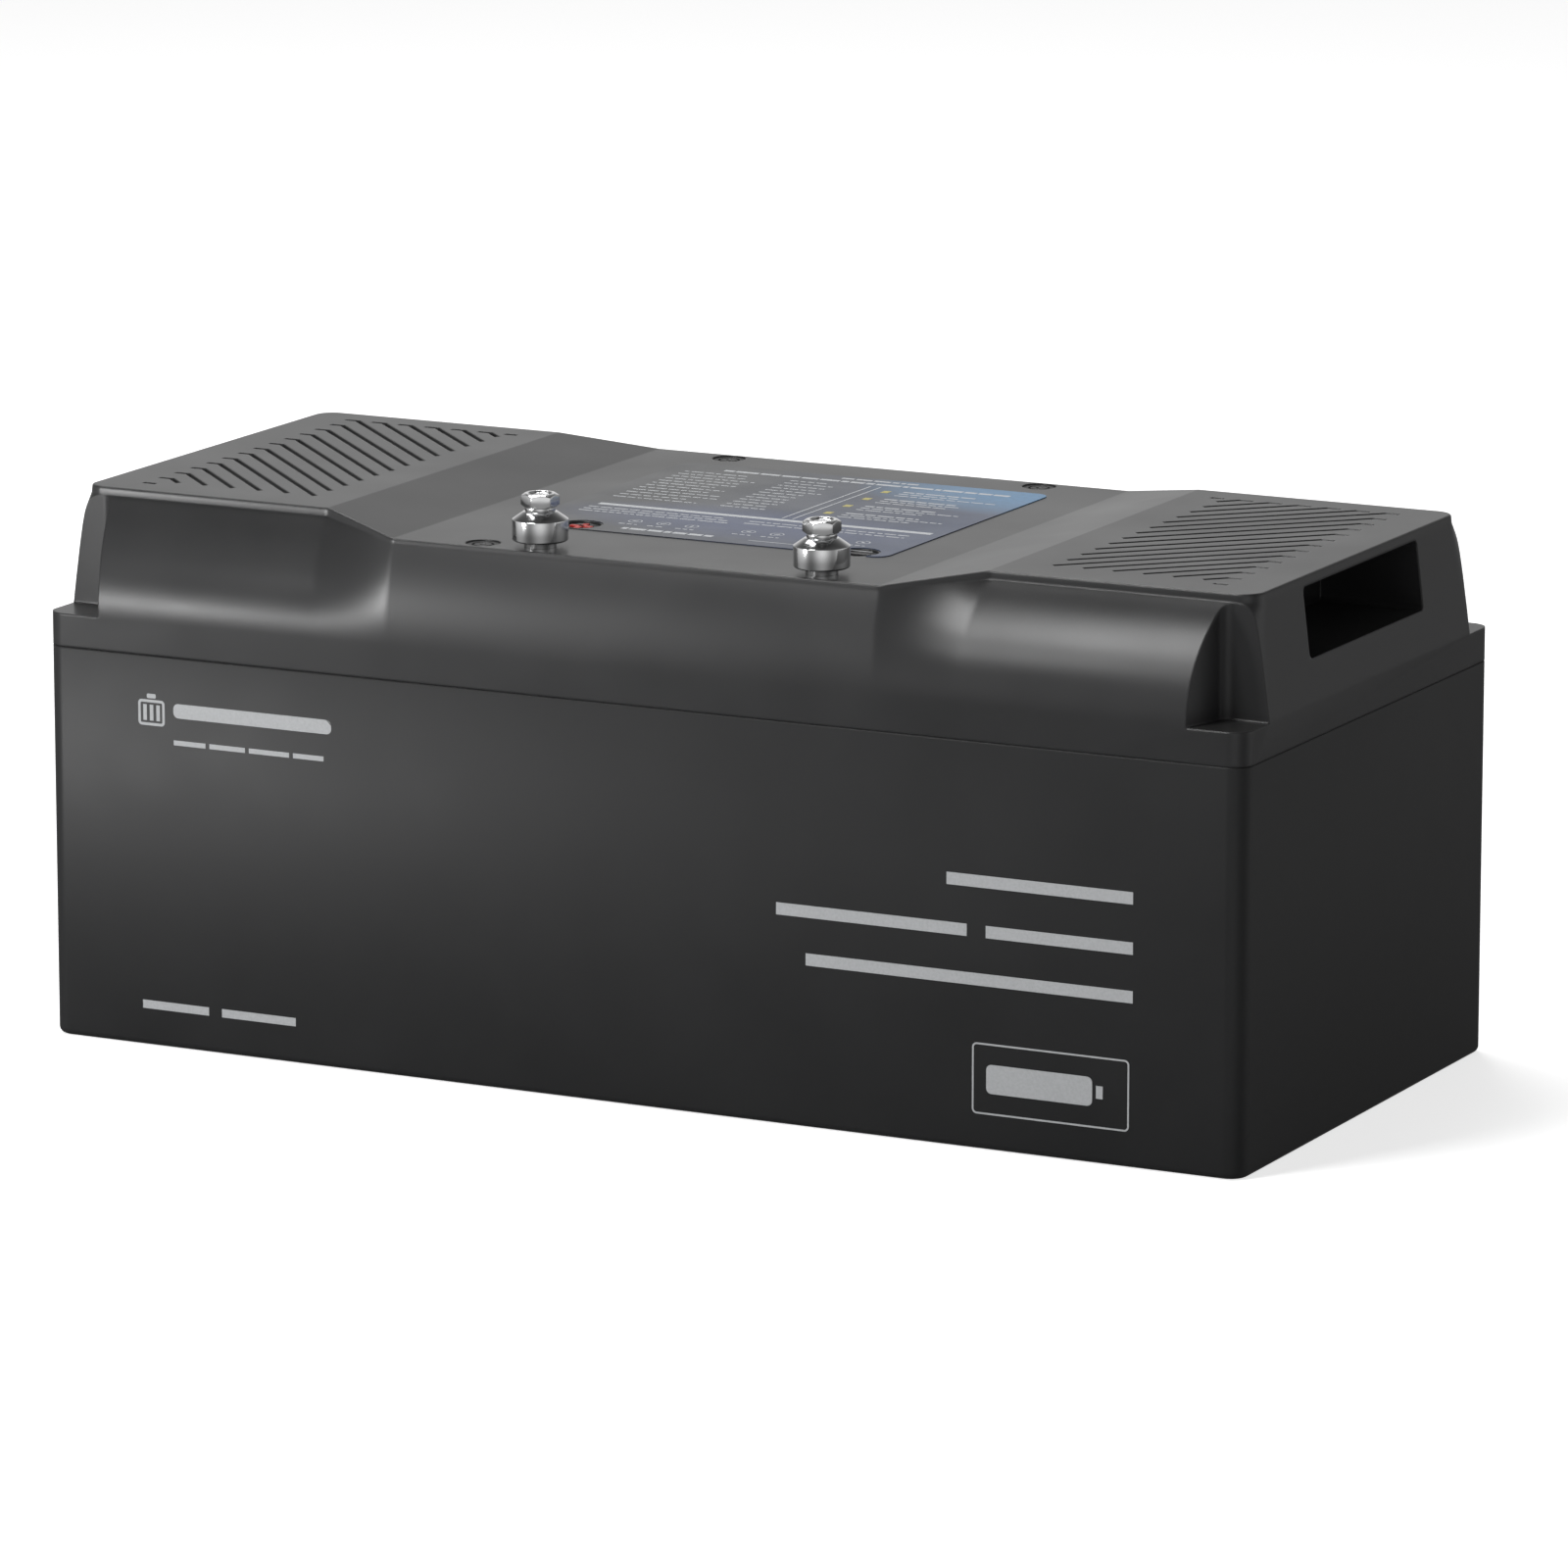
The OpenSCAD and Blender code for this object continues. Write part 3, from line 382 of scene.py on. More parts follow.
FINISHES = {
    "case_plastic": moulded("case_plastic", (0.018, 0.0182, 0.0188), 0.38, grain=0.16, gloss=0.22, wear_and_highlight=0.02,
                            radius=0.9),
    "lid_plastic": moulded("lid_plastic", (0.021, 0.0212, 0.022), 0.3,
                           grain=0.1, gloss=0.5, wear_and_highlight=0.02, radius=1.3),
    "seal_rubber": moulded("seal_rubber", (0.012, 0.012, 0.012), 0.7, grain=0.5, wear_and_highlight=0.1),
    "steel": metal("zinc_steel", (0.62, 0.62, 0.6), 0.34, tarnish=0.2),
    "plug_plastic": moulded("plug_plastic", (0.008, 0.008, 0.0085), 0.42, grain=0.2, radius=0.3, dust=0.03),
    "plated_terminal": metal("plated_terminal", (0.86, 0.865, 0.87), 0.12,
                             lines=(0.0, 0.0, 5000.0), depth=0.04),
    "plated_washer": metal("plated_washer", (0.84, 0.845, 0.85), 0.15,
                           lines=(900.0, 900.0, 900.0), depth=0.05),
    "plated_bolt": metal("plated_bolt", (0.88, 0.885, 0.89), 0.13, lines=(700.0, 700.0, 700.0), depth=0.05),
    "brass_nut": metal("brass_nut", (0.78, 0.58, 0.24), 0.28),
    "red_insert": moulded("red_insert", (0.55, 0.022, 0.014), 0.3,
                          grain=0.1, wear_and_highlight=0.1, radius=0.2, dust=0.02),
    "black_insert": moulded("black_insert", (0.012, 0.012, 0.013), 0.3,
                            grain=0.1, wear_and_highlight=0.3, radius=0.2, dust=0.02),
    "label_film": printed_film("label_film"),
    "foam": moulded("cell_foam", (0.06, 0.062, 0.07), 0.9, grain=1.0, pit=420.0, wear_and_highlight=0.1, dust=0.0),
    "cell_wrap": moulded("cell_wrap", (0.015, 0.075, 0.3), 0.25, grain=0.08, pit=300.0, wear_and_highlight=0.2, dust=0.0),
    "insulator": moulded("insulator", (0.62, 0.58, 0.46), 0.55, grain=0.3, pit=700.0, wear_and_highlight=0.1, dust=0.0),
    "end_plate_alloy": metal("end_plate_alloy", (0.66, 0.67, 0.68), 0.33,
                             lines=(3000.0, 3000.0, 40.0), depth=0.15),
    "copper_bar": metal("copper_bar", (0.86, 0.42, 0.24), 0.26, lines=(40.0, 3000.0, 3000.0), depth=0.12),
    "tray_plastic": moulded("tray_plastic", (0.018, 0.018, 0.019), 0.5, grain=0.3, dust=0.0),
    "board_laminate": moulded("board_laminate", (0.006, 0.07, 0.03), 0.35, grain=0.15, pit=500.0, dust=0.0),
    "sink_alloy": metal("sink_alloy", (0.6, 0.61, 0.62), 0.38, lines=(40.0, 3000.0, 3000.0), depth=0.2),
    "tinned_lug": metal("tinned_lug", (0.74, 0.74, 0.72), 0.3, depth=0.1),
    "red_cable": moulded("red_cable", (0.42, 0.014, 0.01), 0.5, grain=0.2, wear_and_highlight=0.05, dust=0.0),
    "black_cable": moulded("black_cable", (0.012, 0.012, 0.012), 0.5, grain=0.2, wear_and_highlight=0.1, dust=0.0),
    "yellow_wire": moulded("yellow_wire", (0.6, 0.42, 0.02), 0.45, grain=0.1, wear_and_highlight=0.05, dust=0.0),
    "socket_plastic": moulded("socket_plastic", (0.7, 0.68, 0.58), 0.45, grain=0.2, wear_and_highlight=0.1, dust=0.0),
    "probe_wire": moulded("probe_wire", (0.02, 0.02, 0.02), 0.4, grain=0.1, wear_and_highlight=0.1, dust=0.0),
}
PRINT_GREY = ink("print_grey", (0.42, 0.43, 0.44))
PRINT_WHITE = ink("print_white", (0.6, 0.62, 0.64), 0.4)
PRINT_YELLOW = ink("print_yellow", (0.55, 0.48, 0.12), 0.4)

for part in frame["record"]["subparts"]:
    shown = frame["nodes"][part["node"]]
    shown.data.materials.clear()
    shown.data.materials.append(FINISHES[part["material_slot"]])


# ---------- camera, light and floor ----------

CAMERA_LENS, CAMERA_SENSOR = 213.07, 36.0
CAMERA_PLACE = (1.6416, -3.2070, 0.8819)
CAMERA_TURN, CAMERA_TILT = math.radians(26.992), math.radians(12.168)


def make_camera():
    """Long lens from the front right, a little above the lid."""
    lens = bpy.data.cameras.new("camera")
    lens.lens = CAMERA_LENS
    lens.sensor_width = CAMERA_SENSOR
    lens.clip_end = 50
    made = bpy.data.objects.new("camera", lens)
    made.location = CAMERA_PLACE
    made.rotation_euler = (math.pi / 2 - CAMERA_TILT, 0, CAMERA_TURN)
    bpy.context.scene.collection.objects.link(made)
    bpy.context.scene.camera = made


def soft_light(name, place, aim, size, power):
    """White rectangular lamp, hidden from the camera."""
    light = bpy.data.lights.new(name, "AREA")
    light.shape = "RECTANGLE"
    light.size, light.size_y = size
    light.energy = power
    made = bpy.data.objects.new(name, light)
    made.location = place
    made.rotation_euler = (Vector(aim) - Vector(place)).to_track_quat("-Z", "Y").to_euler()
    made.visible_camera = False
    bpy.context.scene.collection.objects.link(made)


def make_surroundings():
    """A pale room: white to the eye, and in reflections a band of light with four bright quarters."""
    world = bpy.data.worlds.new("studio")
    bpy.context.scene.world = world
    world.use_nodes = True
    tree = world.node_tree
    tree.nodes.clear()
    split = add(tree, "ShaderNodeSeparateXYZ")
    tree.links.new(add(tree, "ShaderNodeTexCoord").outputs["Generated"], split.inputs[0])
    ramp = add(tree, "ShaderNodeValToRGB")
    tree.links.new(rescale(tree, split.outputs["Z"], -1.0, 1.0, 0.0, 1.0), ramp.inputs["Fac"])
    stops = [(0.0, 0.1), (0.38, 0.2), (0.47, 0.5), (0.6, 0.5), (0.76, 0.2), (1.0, 0.04)]
    ramp.color_ramp.elements[0].position = stops[0][0]
    ramp.color_ramp.elements[0].color = (*[stops[0][1]] * 3, 1)
    ramp.color_ramp.elements[1].position = stops[-1][0]
    ramp.color_ramp.elements[1].color = (*[stops[-1][1]] * 3, 1)
    for position, level in stops[1:-1]:
        ramp.color_ramp.elements.new(position).color = (level, level, level, 1)
    seen = add(tree, "ShaderNodeBackground")
    seen.inputs["Color"].default_value = (1, 1, 1, 1)
    lit = add(tree, "ShaderNodeBackground")
    tree.links.new(ramp.outputs["Color"], lit.inputs["Color"])
    heading = calc(tree, "ARCTAN2", split.outputs["X"], calc(tree, "MULTIPLY", split.outputs["Y"], -1.0))
    from_camera = calc(tree, "SUBTRACT", heading, math.radians(27))
    lobes = calc(tree, "COSINE", calc(tree, "MULTIPLY", from_camera, 4.0))
    tree.links.new(rescale(tree, lobes, -1.0, 1.0, 0.5, 1.5), lit.inputs["Strength"])
    either = add(tree, "ShaderNodeMixShader")
    tree.links.new(add(tree, "ShaderNodeLightPath").outputs["Is Camera Ray"], either.inputs[0])
    tree.links.new(lit.outputs[0], either.inputs[1])
    tree.links.new(seen.outputs[0], either.inputs[2])
    tree.links.new(either.outputs[0], add(tree, "ShaderNodeOutputWorld").inputs["Surface"])


def make_floor():
    """Pale matt floor, left out of the reflections."""
    bm = bmesh.new()
    bmesh.ops.create_grid(bm, x_segments=4, y_segments=4, size=9)
    mesh = bpy.data.meshes.new("floor")
    bm.to_mesh(mesh)
    bm.free()
    made, tree, shader = start_finish("floor_paint")
    shader.inputs["Base Color"].default_value = (0.9, 0.9, 0.9, 1)
    shader.inputs["Roughness"].default_value = 0.9
    shader.inputs["Specular IOR Level"].default_value = 0.1
    shader.inputs["Emission Color"].default_value = (1, 1, 1, 1)
    seen = add(tree, "ShaderNodeLightPath").outputs["Is Camera Ray"]
    tree.links.new(calc(tree, "MULTIPLY", seen, 0.7), shader.inputs["Emission Strength"])
    mesh.materials.append(made)
    floor = bpy.data.objects.new("floor", mesh)
    floor.location.z = -0.0002
    floor.visible_glossy = False
    bpy.context.scene.collection.objects.link(floor)


make_camera()
make_surroundings()
make_floor()
soft_light("key", (-0.9, 0.9, 2.4), (0, 0, 0.1), (1.3, 1.3), 31)
soft_light("high_band", (-0.32, -1.0, 1.35), (0.2, 0, 0.2), (0.34, 0.7), 10)
soft_light("middle_fill", (-0.66, -1.5, 1.0), (0, 0, 0.2), (0.3, 0.3), 3)
soft_light("low_strip", (-1.2, -1.4, 0.2), (-0.2, 0, 0.2), (0.4, 0.14), 8.5)
bpy.context.scene.view_settings.view_transform = "Standard"


# ---------- case ----------

CASE_WALL, CASE_CORNER_R, CASE_FOOT_R, PRINT_ROOM = 4.0, 8.0, 2.6, 0.05


def make_case():
    """Open box with round upright corners and a rounded foot, set back by the thickness of the print."""
    bm = bmesh.new()
    size = (2 * half_l, 2 * half_w - 2 * PRINT_ROOM * MM, seam_z, 1)
    place = Matrix.Translation((0, 0, seam_z / 2)) @ Matrix.Diagonal(size)
    bmesh.ops.create_cube(bm, size=1, matrix=place)
    upright = [e for e in bm.edges if abs(e.verts[0].co.z - e.verts[1].co.z) > 0.1]
    bmesh.ops.bevel(bm, geom=upright, offset=CASE_CORNER_R * MM, segments=12, profile=0.5,
                    affect="EDGES", material=-1)
    foot = [e for e in bm.edges if all(v.co.z < 1e-6 for v in e.verts)]
    bmesh.ops.bevel(bm, geom=foot, offset=CASE_FOOT_R * MM, segments=6, profile=0.5,
                    affect="EDGES", material=-1)
    top = [f for f in bm.faces if f.normal.z > 0.9]
    bmesh.ops.inset_region(bm, faces=top, thickness=CASE_WALL * MM, use_even_offset=True)
    wells = bmesh.ops.extrude_face_region(bm, geom=top)
    low = [v for v in wells["geom"] if isinstance(v, bmesh.types.BMVert)]
    bmesh.ops.translate(bm, verts=low, vec=(0, 0, CASE_WALL * MM - seam_z))
    bmesh.ops.delete(bm, geom=top, context="FACES")
    bmesh.ops.recalc_face_normals(bm, faces=bm.faces)
    rim = [e for e in bm.edges if all(abs(v.co.z - seam_z) < 1e-6 for v in e.verts)]
    bmesh.ops.bevel(bm, geom=rim, offset=0.35 * MM, segments=2, profile=0.5, affect="EDGES", material=-1)
    piece = finished("case_shell", bm, FINISHES["case_plastic"])
    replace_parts(piece, "case")


# ---------- lid ----------

RIM, END_TOP, MID_TOP = 172.2, 220.3, 214.0
END_INSET, MID_INSET = 22.0, 6.0
END_LIP, MID_LIP, EDGE_R = 2.6, 0.6, 0.7
SLOPE_OUT, SLOPE_IN, SLOPE_DRIFT = 144.0, 106.0, 7.0
END_SET, CORNER_TOP, CORNER_TUCK = 6.0, 8.0, 8.0
LID_WALL = 3.5
HALF_L, HALF_W, SEAM = half_l / MM, half_w / MM, seam_z / MM
NOTCH_DEEP, NOTCH_FRONT, NOTCH_BACK, NOTCH_FILLET = 21.8, 24.5, 18.7, 5.0
POCKET_W, POCKET_D, POCKET_LOW, POCKET_HIGH = 109.0, 46.0, 189.0, 216.4
GROOVE_W, GROOVE_DEEP, GROOVE_PITCH, GROOVE_OUT, GROOVE_TICK = 2.2, 1.4, 12.5, 236.5, 5.5
GROOVE_ROWS, GROOVE_COLS = 13, 6
PLUG_SEAT_R, PLUG_SEAT_DEEP, SCREW_WELL_R, POST_HOLE_R = 6.85, 2.4, 4.6, 4.3
MARK_R, MARK_DEEP, RIM_CORNER_R, RIM_EASE = 7.8, 1.6, 8.0, 0.35
SCREWS = [(-70, -104), (65.5, -89), (-70, 104), (70, 104)]
POSTS = [(-46.6, -100.5), (75.5, -100.5)]
MARKS = [(-54, -53), (69, -56)]


def mix(a, b, t):
    return a + (b - a) * t


def side_spot(t, s, turn, wall):
    """Set-back and height on the long sides: t goes from the middle plate to an end plate, s up the arc."""
    inset = mix(MID_INSET, END_INSET, t)
    top = mix(MID_TOP, END_TOP, t) - wall
    rise = top - EDGE_R - mix(MID_LIP, END_LIP, t) - RIM
    bend = 2 * math.atan(inset / rise)
    radius = rise / math.sin(bend)
    if turn is None:
        return wall + radius * (1 - math.cos(bend * s)), RIM + radius * math.sin(bend * s)
    return wall + inset + EDGE_R * (1 - math.cos(turn)), top - EDGE_R + EDGE_R * math.sin(turn)


def stations(s, slope_steps):
    """Places along X and how far each is from the middle plate (0) to the end plate (1)."""
    far = SLOPE_OUT - SLOPE_DRIFT * (1 - s)
    outer = [(far + gap, 1.0) for gap in (60, 22, 7, 1.6)]
    slope = [(mix(far, SLOPE_IN, i / slope_steps), 1 - i / slope_steps) for i in range(slope_steps + 1)]
    inner = [(SLOPE_IN - gap, 0.0) for gap in (1.2, 6, 20, 60)]
    return outer + slope + inner


def quarter(s, turn, wall, corner_steps, slope_steps):
    """One quarter of a level of the lid, from the middle of the end towards the middle of the side."""
    back, height = side_spot(1, s, turn, wall)
    end = END_SET * (height + wall - RIM) / (END_TOP - RIM) + wall
    if turn is not None:
        end += EDGE_R * (1 - math.cos(turn))
    reach_x = END_SET + CORNER_TOP
    reach_y = END_INSET + CORNER_TOP - CORNER_TUCK * (1 - s) ** 2
    points = []
    for j in range(corner_steps + 1):
        a = math.pi / 2 * j / corner_steps
        points.append((HALF_L - reach_x + (reach_x - end) * math.cos(a),
                       HALF_W - reach_y + (reach_y - back) * math.sin(a), height))
    for x, t in stations(s, slope_steps):
        back, height = side_spot(t, s, turn, wall)
        points.append((x, HALF_W - back, height))
    return points


def rim_quarter(height, radius, inset, corner_steps, slope_steps):
    """One quarter of the upright rim's outline, with the same number of points as a level of the lid."""
    points = []
    for j in range(corner_steps + 1):
        a = math.pi / 2 * j / corner_steps
        points.append((HALF_L - radius + (radius - inset) * math.cos(a),
                       HALF_W - radius + (radius - inset) * math.sin(a), height))
    return points + [(x, HALF_W - inset, height) for x, _ in stations(0, slope_steps)]


def whole_level(points):
    """Mirrors a quarter into a full turn round the lid."""
    return ([(-x, -y, z) for x, y, z in points] + [(x, -y, z) for x, y, z in reversed(points)]
            + [(x, y, z) for x, y, z in points] + [(-x, y, z) for x, y, z in reversed(points)])


def wrapped_skin(levels):
    """A grid wrapped round the lid, one row for each level, closed along its seam and underneath."""
    around = len(levels[0])
    bm = bmesh.new()
    bmesh.ops.create_grid(bm, x_segments=around, y_segments=len(levels) - 1, size=1)
    left = min(v.co.x for v in bm.verts)
    front = min(v.co.y for v in bm.verts)
    for v in bm.verts:
        column = round((v.co.x - left) / (-2 * left) * around) % around
        row = round((v.co.y - front) / (-2 * front) * (len(levels) - 1))
        v.co = Vector(levels[row][column]) * MM
    bmesh.ops.remove_doubles(bm, verts=bm.verts, dist=1e-7)
    return bm


def close_top(bm):
    """Closes the open top level: strips across the slopes and the middle, and a plate at each end."""
    high = [e for e in bm.edges if e.is_boundary and min(v.co.z for v in e.verts) > (RIM + 10) * MM]
    front = sorted({v for e in high for v in e.verts if v.co.y < 0}, key=lambda v: v.co.x)
    back = sorted({v for e in high for v in e.verts if v.co.y > 0}, key=lambda v: v.co.x)
    far = SLOPE_OUT * MM + 1e-6
    front_run = [v for v in front if abs(v.co.x) < far]
    back_run = [v for v in back if abs(v.co.x) < far]
    for a, b, c, d in zip(front_run, front_run[1:], back_run[1:], back_run):
        bm.faces.new((a, b, c, d))
    for side in (-1, 1):
        rim = [v for v in front + back if side * v.co.x > far - 2e-6]
        loop = sorted(rim, key=lambda v: math.atan2(v.co.y, v.co.x - side * 0.19))
        bm.faces.new(loop)


def close_bottom(bm):
    low = min(v.co.z for v in bm.verts)
    edges = [e for e in bm.edges if e.is_boundary and max(v.co.z for v in e.verts) < low + 1e-6]
    bmesh.ops.contextual_create(bm, geom=edges)


def skin_solid(wall, bottom, arc_steps, corner_steps, slope_steps, rim_block):
    """The lid's outer or inner form as a closed solid."""
    detail = (corner_steps, slope_steps)
    if rim_block:
        lows = [rim_quarter(bottom, RIM_CORNER_R, RIM_EASE, *detail),
                rim_quarter(bottom + RIM_EASE, RIM_CORNER_R, 0, *detail),
                rim_quarter(RIM, RIM_CORNER_R, 0, *detail)]
    else:
        first = quarter(0, None, wall, *detail)
        lows = [[(x, y, bottom) for x, y, _ in first]]
    arcs = [quarter(i / arc_steps, None, wall, *detail) for i in range(arc_steps + 1)]
    edges = [quarter(1, math.radians(a), wall, *detail) for a in (0, 30, 60, 90)]
    bm = wrapped_skin([whole_level(points) for points in lows + arcs + edges])
    close_top(bm)
    close_bottom(bm)
    bmesh.ops.dissolve_degenerate(bm, dist=1e-7, edges=bm.edges)
    bmesh.ops.recalc_face_normals(bm, faces=bm.faces)
    return bm


def loose_object(name, bm):
    mesh = bpy.data.meshes.new(name)
    bm.to_mesh(mesh)
    bm.free()
    made = bpy.data.objects.new(name, mesh)
    bpy.context.scene.collection.objects.link(made)
    return made


def carve(target, tool):
    """Cuts the tool from the target and throws the tool away."""
    cut = target.modifiers.new("cut", "BOOLEAN")
    cut.operation = "DIFFERENCE"
    cut.solver = "EXACT"
    cut.object = tool
    bpy.context.view_layer.update()
    worked = target.evaluated_get(bpy.context.evaluated_depsgraph_get())
    result = bpy.data.meshes.new_from_object(worked)
    target.modifiers.clear()
    target.data = result
    bpy.data.objects.remove(tool)


def prism(bm, outline, low, high):
    """Raises a flat outline of (x, y) points into a solid from low to high."""
    face = bm.faces.new([bm.verts.new((x * MM, y * MM, low * MM)) for x, y in outline])
    raised = bmesh.ops.extrude_face_region(bm, geom=[face], use_keep_orig=True)
    tops = [v for v in raised["geom"] if isinstance(v, bmesh.types.BMVert)]
    bmesh.ops.translate(bm, verts=tops, vec=(0, 0, (high - low) * MM))


def corner_pocket_plan():
    """Plan of a corner pocket, inwards from the end face and from the long side."""
    run = math.atan((NOTCH_FRONT - NOTCH_BACK) / NOTCH_DEEP)
    centre = NOTCH_BACK - NOTCH_FILLET * math.tan((math.pi / 2 - run) / 2)
    fillet = []
    for i in range(9):
        a = mix(math.pi / 2, run, i / 8)
        fillet.append((centre + NOTCH_FILLET * math.cos(a),
                       NOTCH_DEEP - NOTCH_FILLET + NOTCH_FILLET * math.sin(a)))
    return [(-8, NOTCH_DEEP)] + fillet + [(NOTCH_FRONT + 8 * math.tan(run), -8), (-8, -8)]


def each_corner(outline):
    """The same plan at the four corners."""
    for side_x in (-1, 1):
        for side_y in (-1, 1):
            yield [(side_x * (HALF_L - x), side_y * (HALF_W - y)) for x, y in outline]


def groove_plans():
    """Plans of the bent grooves of both end plates: a short tick along X, then a diagonal."""
    h = GROOVE_W / 2
    bend = h * math.tan(math.radians(22.5))
    d = h * math.sin(math.radians(45))
    reach = GROOVE_ROWS * GROOVE_PITCH / 2
    starts = [(0, -reach + k * GROOVE_PITCH, min(k, GROOVE_COLS)) for k in range(GROOVE_ROWS + 1)]
    starts += [(k * GROOVE_PITCH, reach, GROOVE_COLS - k) for k in range(1, GROOVE_COLS + 1)]
    for x, y, count in starts:
        run = count * GROOVE_PITCH - GROOVE_TICK
        if run > 0:
            plan = [(0, h), (0, -h), (GROOVE_TICK - bend, -h), (GROOVE_TICK + run - d, -run - d),
                    (GROOVE_TICK + run + d, d - run), (GROOVE_TICK + bend, h)]
        else:
            plan = [(0, h), (0, -h), (GROOVE_TICK, -h), (GROOVE_TICK, h)]
        for side in (-1, 1):
            yield [(side * (-GROOVE_OUT + x + px), y + py) for px, py in plan]


def round_plan(x, y, radius, steps=48):
    turns = [2 * math.pi * i / steps for i in range(steps)]
    return [(x + radius * math.cos(a), y + radius * math.sin(a)) for a in turns]


def handle_box(bm, grow, depth):
    """The handle pocket of each end, with small corner radii."""
    past = 10
    size = ((depth + past) * MM, (POCKET_W + 2 * grow) * MM, (POCKET_HIGH - POCKET_LOW + 2 * grow) * MM, 1)
    for side in (-1, 1):
        middle = (side * (half_l - (depth - past) / 2 * MM), 0, (POCKET_LOW + POCKET_HIGH) / 2 * MM)
        place = Matrix.Translation(middle) @ Matrix.Diagonal(size)
        verts = bmesh.ops.create_cube(bm, size=1, matrix=place)["verts"]
        edges = {e for v in verts for e in v.link_edges if abs(e.verts[0].co.x - e.verts[1].co.x) > 0.01}
        bmesh.ops.bevel(bm, geom=list(edges), offset=(2.5 + grow) * MM, segments=6, profile=0.5,
                        affect="EDGES", material=-1)


def lid_cavity():
    """The hollow inside the lid, kept clear of the pockets and of the screw towers."""
    cavity = loose_object("lid_cavity", skin_solid(LID_WALL, SEAM - 1, 8, 4, 6, False))
    keep = bmesh.new()
    for plan in each_corner([(-12, -12), (NOTCH_FRONT + LID_WALL, -12),
                             (NOTCH_FRONT + LID_WALL, NOTCH_DEEP + LID_WALL), (-12, NOTCH_DEEP + LID_WALL)]):
        prism(keep, plan, RIM - LID_WALL, RIM + 60)
    handle_box(keep, LID_WALL - 0.5, POCKET_D + LID_WALL - 0.5)
    for x, y in SCREWS:
        prism(keep, round_plan(x, y, 6.4, 32), SEAM - 2, MID_TOP)
    bmesh.ops.recalc_face_normals(keep, faces=keep.faces)
    carve(cavity, loose_object("lid_keep", keep))
    return cavity


def lid_cuts():
    """Pockets, grooves and holes of the lid."""
    cuts = bmesh.new()
    for plan in each_corner(corner_pocket_plan()):
        prism(cuts, plan, RIM, END_TOP + 3)
    handle_box(cuts, 0, POCKET_D)
    for plan in groove_plans():
        prism(cuts, plan, END_TOP - GROOVE_DEEP, END_TOP + 1)
    for x, y in SCREWS:
        prism(cuts, round_plan(x, y, PLUG_SEAT_R), MID_TOP - PLUG_SEAT_DEEP, MID_TOP + 1)
        prism(cuts, round_plan(x, y, SCREW_WELL_R, 32), SEAM + 6, MID_TOP - PLUG_SEAT_DEEP + 0.01)
    for x, y in POSTS:
        prism(cuts, round_plan(x, y, POST_HOLE_R, 32), MID_TOP - 9, MID_TOP + 1)
    for x, y in MARKS:
        prism(cuts, round_plan(x, y, MARK_R, 64), MID_TOP - MARK_DEEP, MID_TOP + 1)
    bmesh.ops.recalc_face_normals(cuts, faces=cuts.faces)
    return cuts


def make_lid():
    """Lid: a skin of arcs and slopes, hollowed, with its pockets, grooves and holes cut in."""
    lid = loose_object("lid_blank", skin_solid(0, SEAM, 32, 12, 20, True))
    carve(lid, lid_cavity())
    carve(lid, loose_object("lid_tools", lid_cuts()))
    bm = bmesh.new()
    bm.from_mesh(lid.data)
    bpy.data.objects.remove(lid)
    piece = finished("lid_shell", bm, FINISHES["lid_plastic"], sharp=24)
    # the flat plates stay flat in the light: every edge of a level face is a sharp one
    flat_top = [p.normal.z > 0.98 for p in piece.data.polygons]
    beside = {}
    for p in piece.data.polygons:
        for key in p.edge_keys:
            beside.setdefault(key, []).append(p.index)
    for edge in piece.data.edges:
        if any(flat_top[i] for i in beside.get(edge.key, [])):
            edge.use_edge_sharp = True
    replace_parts(piece, "lid")


# ---------- terminals ----------

POST_Z = mid_z / MM
POST_HIGH, BOLT_SEAT, WASHER_SLIP = 14, 15.8, 0.02
THREAD_PITCH, THREAD_CREST, THREAD_ROOT = 1.25, 4.0, 3.3
POST_PARTS = {"positive": POSTS[0], "negative": POSTS[1]}


def make_post(name, x, y):
    """Plated post: foot, turned collar, cone, and a bore for the bolt."""
    z = POST_Z
    outline = [(0, z + 1.4), (4.05, z + 1.4), (4.05, z + POST_HIGH), (6.6, z + POST_HIGH),
               (11, z + 11), (11, z + 3.1), (10.4, z + 2.5), (6.4, z + 2.5), (6.4, z), (4, z),
               (4, z - 22), (0, z - 22)]
    bm = bmesh.new()
    lathe(bm, [(r * MM, h * MM) for r, h in outline], steps=96)
    ease(bm, 0.22 * MM, 3, 28, keep=lambda e: min(v.co.z for v in e.verts) > (z + 0.5) * MM)
    bmesh.ops.translate(bm, verts=bm.verts, vec=(x * MM, y * MM, 0))
    piece = finished(f"{name}_post_turned", bm, FINISHES["plated_terminal"], sharp=40)
    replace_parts(piece, f"{name}_post")


def make_washer(name, x, y):
    """Flat washer with rounded edges, a hair clear of the post below and the bolt's head above."""
    low, high = POST_Z + POST_HIGH + WASHER_SLIP, POST_Z + BOLT_SEAT - WASHER_SLIP
    bm = bmesh.new()
    lathe(bm, [(r * MM, h * MM) for r, h in [(4.35, low), (6, low), (6, high), (4.35, high), (4.35, low)]])
    ease(bm, 0.3 * MM, 3, 40)
    bmesh.ops.translate(bm, verts=bm.verts, vec=(x * MM, y * MM, 0))
    piece = finished(f"{name}_washer_turned", bm, FINISHES["plated_washer"], body=f"{name}_washer", sharp=40)
    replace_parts(piece, f"{name}_washer")


def hexagon_reach(angle, flat):
    """Distance from the axis to a hexagon's side in that direction."""
    return flat / math.cos((angle + math.pi / 6) % (math.pi / 3) - math.pi / 6)


